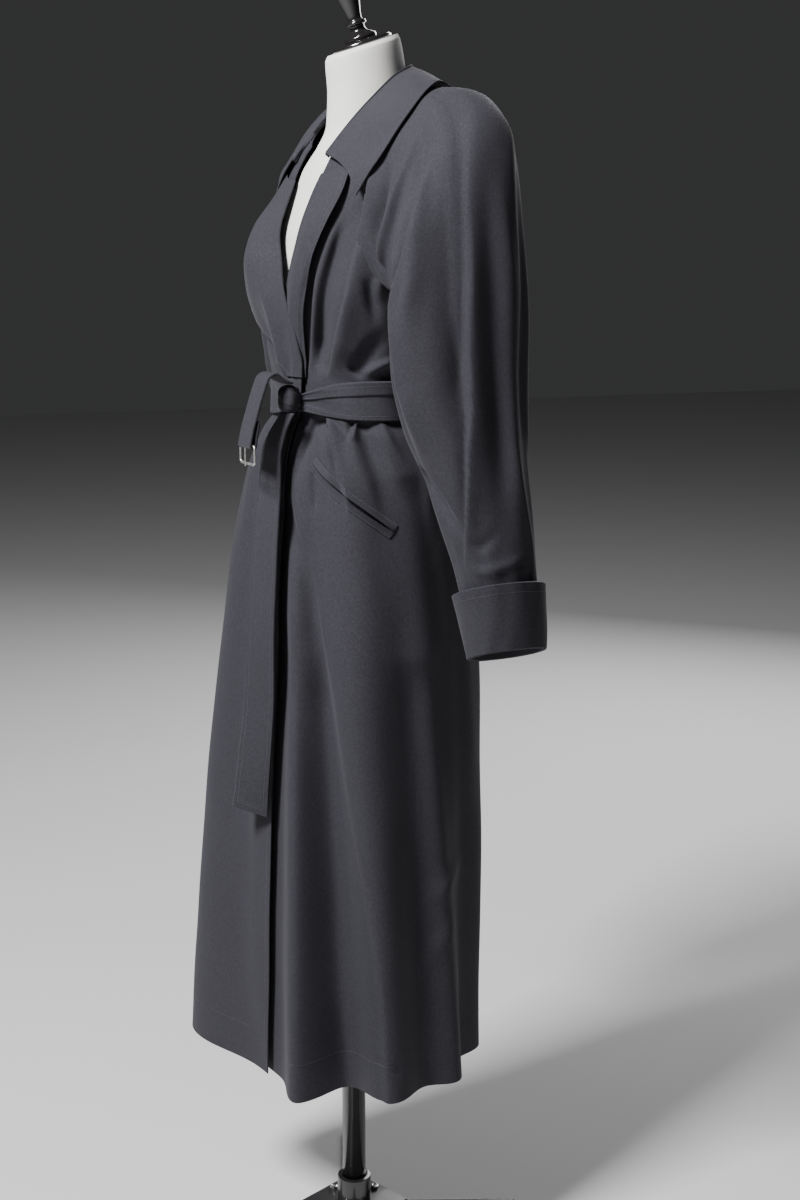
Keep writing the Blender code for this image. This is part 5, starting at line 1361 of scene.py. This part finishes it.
class COAT_OT_pockets(Operator):
    """Slanted pockets with two welts each"""

    bl_idname = "coat.pockets"
    bl_label = "Pockets"

    def execute(self, context):
        middle = np.sin(math.pi * np.linspace(0, 1, MOUTH_STEPS + 1))
        down = np.linspace(0, 1, WELT_ROWS)
        for side, word in ((1, "left"), (-1, "right")):
            for part, way in (("upper", -1), ("lower", 1)):
                away = [WELT_PARTING / 2 + MOUTH_OPEN * middle * (1 - t) + WELT_WIDTH * t for t in down]
                rows = [pocket_places(side, way * across) for across in away]
                angles, levels = (np.array(column) for column in zip(*rows))
                lip = MOUTH_LIFT * middle**0.5 * (1 - down[:, None]) ** 2
                stand = WELT_LAY + (lip if part == "upper" else LOWER_LIP * lip)
                inner = coat_point(angles, levels, stand, side < 0)
                thick = WELT_CLOTH * (1 - 0.5 * down[:, None] ** 3)
                outer = coat_point(angles, levels, stand + thick, side < 0)
                name = "pocket_%s_%s" % (word, part)
                obj = cloth_wall(name + "_cloth", outer, inner)
                cloth_sheet(obj, outer, False, [name])
        return {"FINISHED"}


def belt_radius(angle):
    """The outside of everything that the belt goes round."""
    under = ring_radius(COAT_RINGS, angle, np.full_like(angle, WAIST_HEIGHT))
    edge = from_table(FRONT_EDGES, "height", "right", WAIST_HEIGHT)
    past_edge = ease((edge + BELT_EASE - angle) / BELT_EASE)
    lift = np.where(angle > edge, lap_lift(edge, WAIST_HEIGHT) * past_edge, lap_lift(angle, WAIST_HEIGHT))
    return under + lift + BELT_CLEARANCE


def strap_grids(centres, widths, faces_out, thickness, columns=13):
    share = np.linspace(-1, 1, columns)[:, None, None]
    line = centres[None] + share * widths[None]
    crown = (1 - share**2) * STRAP_CROWN
    return line + (0.5 * thickness + crown) * faces_out, line - 0.5 * thickness * faces_out


def short_frame():
    turn = math.radians(SHORT_FACING)
    width = math.cos(turn) * OUT - math.sin(turn) * ALONG
    return np.array([-width[1], width[0], 0.0]), width


def short_path(steps=60, turn_steps=20, tip_steps=16):
    """Centre line of the short end down to its foot, and the middle of the buckle's bar."""
    level, _ = short_frame()
    points = np.array([SHORT_ROOT + p.along * level + p.height * UP for p in SHORT_END])
    runs = runs_along(points[None])[0]
    where = np.linspace(0, runs[-1], steps + 1)
    path = np.stack([smooth_curve(runs, points[:, i], where) for i in range(3)], axis=1)
    radius = BUCKLE_WIRE + BAR_ROOM + DOUBLE_CLOTH / 2
    down = unit(path[-1] - path[-2])
    inwards = unit(level - (level @ down) * down)
    bar = path[-1] + radius * inwards
    turn = [bar - radius * math.cos(a) * inwards + radius * math.sin(a) * down
            for a in np.linspace(0, math.pi, turn_steps + 1)[1:]]
    lean = TIP_LEAN * (radius - DOUBLE_CLOTH / 2)
    tip = [turn[-1] - TIP_LENGTH * t * down - lean * ease(2 * t) * inwards
           for t in np.linspace(0, 1, tip_steps + 1)[1:]]
    return np.concatenate([path, turn, tip]), bar, down, inwards


class COAT_OT_belt(Operator):
    """Belt round the waist, its knot and its two free ends"""

    bl_idname = "coat.belt"
    bl_label = "Belt"

    def execute(self, context):
        self.waist()
        self.tail()
        self.short_end()
        self.knot()
        return {"FINISHED"}

    def waist(self):
        angles = np.linspace(-180, 180, 321)[:-1]
        rows_out, rows_in = [], []
        for share in np.linspace(-1, 1, 45):
            near = bump(angles, KNOT_ANGLE, PINCH_REACH)
            wide = bump(angles, KNOT_ANGLE + FOLD_AWAY, FOLD_AROUND)
            pinch = 1 - (BELT_PINCH[0] if share > 0 else BELT_PINCH[1]) * near
            height = WAIST_HEIGHT - 0.002 * near + share * pinch * BELT_WIDTH / 2
            line = 0.34 - 0.30 * bump(angles, KNOT_ANGLE, 34.0) + 0.05 * np.sin(angles / 17.0)
            turned_over = BELT_FOLD * wide * ease((share - line) / 0.10) * (1.15 - 0.5 * share)
            creased = 0.0011 * near * np.maximum(np.cos(share * 8.0 + angles / 9.0), 0)
            turn = np.radians(angles)
            slack = 0.0008 * np.sin(turn * 7 + share * 2) + 0.0005 * np.sin(turn * 17)
            radius = belt_radius(angles) + BELT_SPREAD * share**2 + slack
            outside = radius + DOUBLE_CLOTH + turned_over + creased
            rows_in.append(ring_point(COAT_RINGS, angles, height, radius))
            rows_out.append(ring_point(COAT_RINGS, angles, height, outside))
        outer = np.array(rows_out)
        obj = cloth_wall("belt_waist_cloth", outer, np.array(rows_in), closed=True)
        cloth_sheet(obj, outer, True, ["belt_waist"])

    def tail(self):
        heights = np.linspace(TAIL[0].height, TAIL[-1].height, 111)
        keys = [-row.height for row in TAIL]
        along, out, facing = (smooth_curve(keys, [getattr(row, name) for row in TAIL], -heights)
                              for name in ("along", "out", "facing"))
        centres = along[:, None] * ALONG + out[:, None] * OUT + heights[:, None] * UP
        across = facing[:, None] * ALONG + np.sqrt(1 - facing**2)[:, None] * OUT
        grown = ease((TAIL[0].height - heights) / TAIL_GROWN)
        widths = across * BELT_WIDTH / 2 * (TAIL_GATHERED + (1 - TAIL_GATHERED) * grown)[:, None]
        faces_out = unit(np.cross(across, UP))
        outer, inner = strap_grids(centres, widths, faces_out, DOUBLE_CLOTH)
        low = TAIL[-1].height
        wave = TAIL_WAVE * np.sin(heights * 31.0) * np.sin(math.pi * (heights - low) / TAIL_LENGTH)
        at_end = ease((low + SLANT_REACH - heights) / SLANT_REACH)
        slant = np.linspace(-1, 1, len(outer))[:, None] * 0.5 * TAIL_SLANT * at_end
        for grid in (outer, inner):
            grid += wave[None, :, None] * faces_out[None]
            grid[..., 2] -= slant
        self.hang("belt_tail", outer, inner)

    def short_end(self):
        _, width = short_frame()
        path = short_path()[0]
        faces_out = unit(np.cross(width, unit(np.gradient(path, axis=0))))
        widths = np.repeat((width * SHORT_WIDTH / 2)[None, :], len(path), axis=0)
        outer, inner = strap_grids(path, widths, faces_out, DOUBLE_CLOTH)
        self.hang("belt_short", outer, inner)

    def hang(self, name, outer, inner):
        outer, inner = outer.transpose(1, 0, 2), inner.transpose(1, 0, 2)
        obj = cloth_wall(name + "_cloth", outer, inner)
        cloth_sheet(obj, outer, False, [name])

    def knot(self):
        """Wrapped cloth: a rounded lump with folds that run round it on a slant."""
        turn, climb = np.meshgrid(np.linspace(0, 2 * math.pi, 121)[:-1], np.linspace(0, math.pi, 81)[1:-1])
        level = np.sin(climb)
        direction = np.stack([np.cos(turn) * level, np.sin(turn) * level, np.cos(climb)], axis=-1)
        size = (np.abs(direction) ** KNOT_SQUARE).sum(axis=-1) ** (-1 / KNOT_SQUARE)
        slanted = direction @ np.array([0.42, 0.0, 0.90]) - 0.30 * direction[..., 0] ** 2
        wrap = np.mod(slanted * 1.15 + 0.35, 1.0)
        ridges = 1 + 0.09 * (ease(wrap / 0.22) * (1 - 0.8 * wrap)) - 0.08 * direction[..., 2] ** 2
        points = direction * (0.5 * size * ridges)[..., None] * np.array(KNOT_SIZE)
        inner = belt_radius(np.array([KNOT_ANGLE]))[0] + DOUBLE_CLOTH + BELT_SPREAD + LAY_GAP
        reach = inner + KNOT_SIZE[1] / 2 + LAY_GAP
        sine, cosine = math.sin(math.radians(KNOT_ANGLE)), math.cos(math.radians(KNOT_ANGLE))
        matrix = Matrix.Translation((reach * sine, -reach * cosine, WAIST_HEIGHT + 0.001)) @ Matrix.Rotation(
            math.radians(KNOT_ANGLE), 4, "Z")
        rows, columns = points.shape[:2]
        every = [matrix @ Vector(p) for p in points.reshape(-1, 3)]
        faces = [tuple(f) for f in grid_faces(rows, columns, True).tolist()]
        for row, pole in ((0, 1), (rows - 1, -1)):
            every.append(matrix @ Vector((0.0, 0.0, pole * 0.5 * KNOT_SIZE[2])))
            for c in range(columns):
                pair = (row * columns + c, row * columns + (c + 1) % columns)
                faces.append((*(pair if pole < 0 else pair[::-1]), len(every) - 1))
        place = np.array([(p.x + p.y, p.z) for p in every])
        obj = make_object("belt_knot_cloth", every, faces, place=place)
        dress(obj, "coat_twill")
        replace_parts(obj, "belt_knot")


class COAT_OT_buckle(Operator):
    """Wire buckle frame and its prong, each on its own body"""

    bl_idname = "coat.buckle"
    bl_label = "Buckle"

    def execute(self, context):
        level, width = short_frame()
        bar = short_path()[1]
        reach, outer = -UP, -level
        half = SHORT_WIDTH / 2 + BUCKLE_SIDE + BUCKLE_WIRE - BUCKLE_CORNER
        far, near = BUCKLE_LENGTH - BUCKLE_CORNER, BUCKLE_CORNER
        outline = []
        for start, across, out in ((0, half, far), (90, -half, far), (180, -half, near), (270, half, near)):
            for turn in np.radians(start + np.linspace(0, 90, 9)):
                outline.append(bar + (across + BUCKLE_CORNER * math.cos(turn)) * width
                               + (out + BUCKLE_CORNER * math.sin(turn)) * reach)
        ring = wire("buckle_frame_wire", outline, BUCKLE_WIRE, True, "buckle")
        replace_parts(dress(ring, "buckle_metal"), "buckle_frame")
        stand = BUCKLE_WIRE + PRONG_WIRE + PRONG_ROOM
        line = [bar + stand * (math.cos(turn) * reach + math.sin(turn) * outer)
                for turn in np.radians(np.linspace(360, 90, 31))]
        line += [bar + (BUCKLE_LENGTH + PRONG_PAST) * t * reach + stand * outer
                 for t in np.linspace(0, 1, 9)[1:]]
        prong = wire("buckle_prong_wire", line, PRONG_WIRE, False, "prong")
        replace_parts(dress(prong, "buckle_metal"), "buckle_prong")
        return {"FINISHED"}


# Topstitching: the piece, the edge that it runs along, how far in, and its greatest height.
ANY_HEIGHT = 9.0
SEAMS = table("piece edge inset top", (
    ("front_right", "last", 0.0080, 1.186),
    ("front_left", "first", 0.0080, 1.186),
    ("front_right", "low", 0.0500),
    ("front_left", "low", 0.0500),
    ("back", "low", 0.0500),
    ("lapel_left", "last", 0.0075),
    ("lapel_right", "last", 0.0075),
    ("collar", "high", 0.0075),
    ("collar", "high", 0.0100),
    ("collar", "first", 0.0075),
    ("collar", "last", 0.0075),
    ("cuff_left", "low", 0.0110),
    ("cuff_right", "low", 0.0110),
    ("pocket_left_upper", "high", 0.0015),
    ("pocket_left_lower", "high", 0.0015),
    ("pocket_right_upper", "high", 0.0015),
    ("pocket_right_lower", "high", 0.0015),
    ("belt_waist", "low", 0.0045),
    ("belt_waist", "high", 0.0045),
    ("belt_tail", "first", 0.0055),
    ("belt_tail", "last", 0.0055),
    ("belt_tail", "high", 0.0070),
    ("belt_tail", "high", 0.0100),
    ("belt_short", "first", 0.0045),
    ("belt_short", "last", 0.0045),
), defaults=(ANY_HEIGHT,))


def outer_grid(piece):
    """The outer points of a piece's cloth wall, as rows and columns."""
    obj = bpy.data.objects[piece + "_cloth"]
    points = np.zeros(3 * len(obj.data.vertices))
    obj.data.vertices.foreach_get("co", points)
    rows, columns = obj["rows"], obj["columns"]
    return points.reshape(-1, 3)[: rows * columns].reshape(rows, columns, 3), obj["closed"]


def sewn_line(seam):
    """The line on a piece that keeps its inset from an edge and from the edge's two ends."""
    grid, closed = outer_grid(seam.piece)
    if seam.edge in ("low", "high"):
        grid = grid.transpose(1, 0, 2)
    if seam.edge in ("high", "last"):
        grid = grid[:, ::-1]
    line = np.array([[np.interp(seam.inset, run, row[:, i]) for i in range(3)]
                     for run, row in zip(runs_along(grid), grid)])
    if closed:
        return np.concatenate([line, line[:1]])
    line = line[line[:, 2] < seam.top]
    run = runs_along(line[None])[0]
    return line[(run > seam.inset) & (run < run[-1] - seam.inset)]


def stitch_tree():
    """Lines in, one small rounded stitch at every pitch out."""
    tree = bpy.data.node_groups.new("Topstitching", "GeometryNodeTree")
    for name, kind in (("Lines", "Geometry"), ("Pitch", "Float"), ("Length", "Float"), ("Width", "Float"),
                       ("Seed", "Int"), ("Thread", "Material")):
        tree.interface.new_socket(name, in_out="INPUT", socket_type="NodeSocket" + kind)
    tree.interface.new_socket("Stitches", in_out="OUTPUT", socket_type="NodeSocketGeometry")

    def add(kind, **values):
        return add_node(tree, kind, **values)

    source, result = add("NodeGroupInput"), add("NodeGroupOutput")
    curve = add("GeometryNodeMeshToCurve")
    spaced = add("GeometryNodeResampleCurve", mode="LENGTH")
    ball = add("GeometryNodeMeshUVSphere", Segments=6, Rings=4, Radius=0.5)
    turn = add("FunctionNodeAlignRotationToVector", axis="Z")
    chance = add("FunctionNodeRandomValue", data_type="FLOAT")
    chance.inputs[2].default_value, chance.inputs[3].default_value = 0.88, 1.08
    length = add("ShaderNodeMath", operation="MULTIPLY")
    size = add("ShaderNodeCombineXYZ")
    place = add("GeometryNodeInstanceOnPoints")
    whole, finish = add("GeometryNodeRealizeInstances"), add("GeometryNodeSetMaterial")
    for start, end in (
            (source.outputs["Lines"], curve.inputs["Mesh"]), (curve.outputs["Curve"], spaced.inputs["Curve"]),
            (source.outputs["Pitch"], spaced.inputs["Length"]),
            (add("GeometryNodeInputTangent").outputs["Tangent"], turn.inputs["Vector"]),
            (source.outputs["Seed"], chance.inputs["Seed"]), (source.outputs["Length"], length.inputs[0]),
            (chance.outputs[1], length.inputs[1]), (source.outputs["Width"], size.inputs["X"]),
            (source.outputs["Width"], size.inputs["Y"]), (length.outputs[0], size.inputs["Z"]),
            (spaced.outputs["Curve"], place.inputs["Points"]), (ball.outputs["Mesh"], place.inputs["Instance"]),
            (turn.outputs["Rotation"], place.inputs["Rotation"]),
            (size.outputs["Vector"], place.inputs["Scale"]),
            (place.outputs["Instances"], whole.inputs["Geometry"]),
            (whole.outputs["Geometry"], finish.inputs["Geometry"]),
            (source.outputs["Thread"], finish.inputs["Material"]),
            (finish.outputs["Geometry"], result.inputs["Stitches"])):
        tree.links.new(start, end)
    return tree


class COAT_OT_stitches(Operator):
    """Topstitching along the edges, one thread after another"""

    bl_idname = "coat.stitches"
    bl_label = "Topstitching"

    def execute(self, context):
        looks = context.scene.coat_looks
        points, edges = [], []
        for seam in SEAMS:
            line = sewn_line(seam)
            edges += [(len(points) + i, len(points) + i + 1) for i in range(len(line) - 1)]
            points += [tuple(p) for p in line]
        lines = bpy.data.meshes.new("stitch_lines")
        lines.from_pydata(points, edges, [])
        obj = bpy.data.objects.new("stitches_thread", lines)
        context.scene.collection.objects.link(obj)
        modifier = obj.modifiers.new("Topstitching", "NODES")
        modifier.node_group = stitch_tree()
        values = {"Pitch": looks.stitch_pitch, "Length": looks.stitch_length, "Width": looks.thread_width,
                  "Seed": 5, "Thread": finish_of("coat_thread")}
        for socket in modifier.node_group.interface.items_tree:
            if socket.in_out == "INPUT" and socket.name in values:
                modifier[socket.identifier] = values[socket.name]
        sewn = bpy.data.meshes.new_from_object(obj.evaluated_get(context.evaluated_depsgraph_get()))
        obj.modifiers.clear()
        obj.data = sewn
        sewn.shade_smooth()
        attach(obj, "root")
        return {"FINISHED"}


def form_ring(ring, steps):
    half_depth = (ring.front + ring.back) / 2
    centre = np.array([0.0, (ring.back - ring.front) / 2, ring.height])
    sine, cosine = (squared_off(part, 2 / ring.square)
                    for part in sine_cosine(np.linspace(-180, 180, steps + 1)[:-1]))
    points = centre + np.stack([ring.half_width * sine, -half_depth * cosine, -ring.fall * cosine], axis=1)
    return points, centre, math.atan2(ring.fall, half_depth)


class FORM_OT_torso(Operator):
    """The form's cotton-covered body and neck"""

    bl_idname = "form.torso"
    bl_label = "Dress form"

    def execute(self, context):
        first = FORM_RINGS[0]
        rows = []
        for height in stepped(FORM_STOPS, FORM_STEPS):
            values = {name: float(from_table(FORM_RINGS, "height", name, height)) for name in first._fields[1:]}
            rows.append(form_ring(first._replace(height=height, **values), FORM_COLUMNS)[0])
        grid = np.array(rows)
        count, columns = grid.shape[:2]
        faces = [tuple(f) for f in grid_faces(count, columns, True).tolist()]
        faces += [tuple(reversed(range(columns))), tuple(range((count - 1) * columns, count * columns))]
        obj = make_object("form_cover", grid.reshape(-1, 3), faces)
        obj.data.set_sharp_from_angle(angle=math.radians(50))
        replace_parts(dress(obj, "form_cotton"), "form_torso")
        return {"FINISHED"}


CAP_PROFILE = ((0.0000, 0.0060), (0.0330, 0.0060), (0.0375, 0.0045), (0.0385, 0.0000), (0.0000, 0.0000))
FINIAL_PROFILE = (
    (0.0000, 0.0850), (0.0080, 0.0835), (0.0140, 0.0780), (0.0165, 0.0690), (0.0160, 0.0600),
    (0.0130, 0.0470), (0.0100, 0.0340), (0.0090, 0.0250), (0.0125, 0.0225), (0.0125, 0.0190),
    (0.0095, 0.0170), (0.0105, 0.0110), (0.0165, 0.0070), (0.0205, 0.0040), (0.0205, 0.0000),
)


class FORM_OT_neck_top(Operator):
    """Turned cap and finial on the neck"""

    bl_idname = "form.neck_top"
    bl_label = "Neck cap and finial"

    def execute(self, context):
        _, centre, slope = form_ring(FORM_RINGS[-1], 4)
        lean = Matrix.Rotation(slope, 4, "X")
        up = lean @ Vector((0.0, 0.0, 1.0))
        seat = Vector(centre) + SEAM_GAP * up
        cap_line = [(0.0, 0.0060), (0.0300, 0.0060), (0.0330, 0.0058), (0.0360, 0.0050), (0.0378, 0.0036),
                    (0.0385, 0.0018), (0.0385, 0.0003), (0.0380, 0.0), (0.0, 0.0)]
        cap = lathe("neck_cap_lacquer", cap_line, seat, tilt=lean, steps=96)
        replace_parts(dress(cap, "black_lacquer"), "neck_cap")
        line = rounded_profile(FINIAL_PROFILE) + [(0.0, 0.0)]
        place = seat + up * (CAP_PROFILE[0][1] + SEAM_GAP)
        finial = lathe("finial_lacquer", line, place, tilt=lean, steps=72)
        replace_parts(dress(finial, "black_lacquer"), "finial")
        return {"FINISHED"}


class STAND_OT_stand(Operator):
    """Pole, socket, flange, crossed foot and bolts"""

    bl_idname = "stand.stand"
    bl_label = "Stand"

    def execute(self, context):
        low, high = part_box("pole")
        radius = (high.x - low.x) / 2
        line = [(0.0, high.z), (radius - 0.0006, high.z), (radius, high.z - 0.0006), (radius, low.z),
                (0.0, low.z)]
        pole = lathe("pole_tube", line, Vector((0, 0, 0)), steps=96)
        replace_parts(dress(pole, "black_paint"), "pole")
        low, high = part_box("pole_socket")
        outer, inner = (high.x - low.x) / 2, radius + 2 * SEAM_GAP
        line = [(inner, high.z), (outer - 0.0016, high.z), (outer - 0.0005, high.z - 0.0005),
                (outer, high.z - 0.0016), (outer, low.z), (inner, low.z), (inner, high.z)]
        socket = lathe("socket_collar", line, Vector((0, 0, 0)), steps=96)
        socket.data.set_sharp_from_angle(angle=math.radians(40))
        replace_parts(dress(socket, "black_paint"), "pole_socket")
        for name in ("base_flange", "base_cross"):
            self.rounded(name)
        for number in range(1, 5):
            self.bolt("base_bolt_%d" % number)
        return {"FINISHED"}

    def rounded(self, name):
        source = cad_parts[name]
        mesh = source.data.copy()
        shape = bmesh.new()
        shape.from_mesh(mesh)
        bmesh.ops.remove_doubles(shape, verts=shape.verts, dist=1e-6)
        bmesh.ops.dissolve_limit(shape, angle_limit=math.radians(2), verts=shape.verts, edges=shape.edges)
        shape.to_mesh(mesh)
        shape.free()
        obj = bpy.data.objects.new(name + "_paint", mesh)
        bpy.context.scene.collection.objects.link(obj)
        round_edges = obj.modifiers.new("Round", "BEVEL")
        round_edges.width = 0.0012
        round_edges.segments = 3
        round_edges.limit_method = "ANGLE"
        round_edges.angle_limit = math.radians(50)
        obj.data.shade_smooth()
        obj.data.set_sharp_from_angle(angle=math.radians(60))
        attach(obj, "root")
        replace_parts(dress(obj, "cast_paint"), name)

    def bolt(self, name):
        low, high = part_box(name)
        centre = (low + high) / 2
        radius, top = (high.x - low.x) / 2, high.z - low.z
        line = [(0.0, top - 0.0022), (0.0024, top - 0.0022), (0.0026, top - 0.0002), (0.0030, top),
                (radius - 0.0012, top), (radius - 0.0003, top - 0.0004), (radius, top - 0.0013), (radius, 0.0),
                (0.0, 0.0)]
        bolt = lathe(name + "_steel", line, Vector((centre.x, centre.y, low.z)), steps=40)
        bolt.data.set_sharp_from_angle(angle=math.radians(45))
        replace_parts(dress(bolt, "bolt_steel"), name)


class STAGE_OT_studio(Operator):
    """Pale floor, soft light and the camera"""

    bl_idname = "stage.studio"
    bl_label = "Studio"

    def execute(self, context):
        stage = context.scene.stage_looks
        mesh = bpy.data.meshes.new("floor")
        corners = ((-1, -1), (1, -1), (1, 1), (-1, 1))
        mesh.from_pydata([(x * FLOOR_REACH, y * FLOOR_REACH, FLOOR_LEVEL) for x, y in corners], [],
                         [(0, 1, 2, 3)])
        floor = bpy.data.objects.new("floor", mesh)
        context.scene.collection.objects.link(floor)
        made = Nodes("pale_floor")
        cloud, colour = made.noise(made.solid, 3.0, 4.0), stage.floor_colour
        mesh.materials.append(made.finish(
            Base_Color=made.blend(cloud, tint(colour, 0.98), tint(colour, 1.02)), Roughness=0.8))

        world = bpy.data.worlds.new("room")
        world.use_nodes = True
        back = world.node_tree.nodes["Background"]
        back.inputs["Color"].default_value = (0.90, 0.91, 0.93, 1.0)
        back.inputs["Strength"].default_value = stage.world_light
        context.scene.world = world
        self.soft_light("key", stage.key_power, KEY_PLACE, KEY_AIM, KEY_SIZE)
        self.soft_light("fill", stage.fill_power, FILL_PLACE, FILL_AIM, FILL_SIZE)

        camera = bpy.data.cameras.new("camera")
        camera.sensor_fit = "VERTICAL"
        camera.sensor_height = 36.0
        camera.lens = FOCAL_PIXELS / PHOTO_HEIGHT * camera.sensor_height
        eye = bpy.data.objects.new("camera", camera)
        eye.location = CAMERA_PLACE
        eye.rotation_euler = (math.radians(90.0 + CAMERA_PITCH), 0.0, math.radians(CAMERA_TURN))
        context.scene.collection.objects.link(eye)
        context.scene.camera = eye
        return {"FINISHED"}

    def soft_light(self, name, power, place, aim, size):
        light = bpy.data.lights.new(name, "AREA")
        light.energy = power
        light.size = size
        lamp = bpy.data.objects.new(name, light)
        lamp.location = place
        lamp.rotation_euler = (Vector(aim) - Vector(place)).to_track_quat("-Z", "Y").to_euler()
        bpy.context.scene.collection.objects.link(lamp)


OPERATORS = (COAT_OT_panels, COAT_OT_sleeves, COAT_OT_lapels, COAT_OT_collar, COAT_OT_pockets, COAT_OT_belt,
             COAT_OT_stitches, COAT_OT_buckle, FORM_OT_torso, FORM_OT_neck_top, STAND_OT_stand, STAGE_OT_studio)
SETTINGS = (("coat_looks", CoatLooks), ("stand_looks", StandLooks), ("stage_looks", StageLooks))


class COAT_PT_looks(Panel):
    """Every step of the coat's looks"""

    bl_label = "Trench coat"
    bl_idname = "COAT_PT_looks"
    bl_space_type = "VIEW_3D"
    bl_region_type = "UI"
    bl_category = "Trench coat"

    def draw(self, context):
        for name, group in SETTINGS:
            column = self.layout.column(align=True)
            for key in group.__annotations__:
                column.prop(getattr(context.scene, name), key)
        for operator in OPERATORS:
            self.layout.operator(operator.bl_idname)


def register():
    for name, group in SETTINGS:
        bpy.utils.register_class(group)
        setattr(bpy.types.Scene, name, PointerProperty(type=group))
    for operator in OPERATORS:
        bpy.utils.register_class(operator)
    bpy.utils.register_class(COAT_PT_looks)


def unregister():
    bpy.utils.unregister_class(COAT_PT_looks)
    for operator in reversed(OPERATORS):
        bpy.utils.unregister_class(operator)
    for name, group in reversed(SETTINGS):
        delattr(bpy.types.Scene, name)
        bpy.utils.unregister_class(group)


def main():
    register()
    for operator in OPERATORS:
        group, name = operator.bl_idname.split(".")
        if getattr(getattr(bpy.ops, group), name)() != {"FINISHED"}:
            raise RuntimeError(operator.bl_label + " did not finish")


if __name__ == "__main__":
    main()
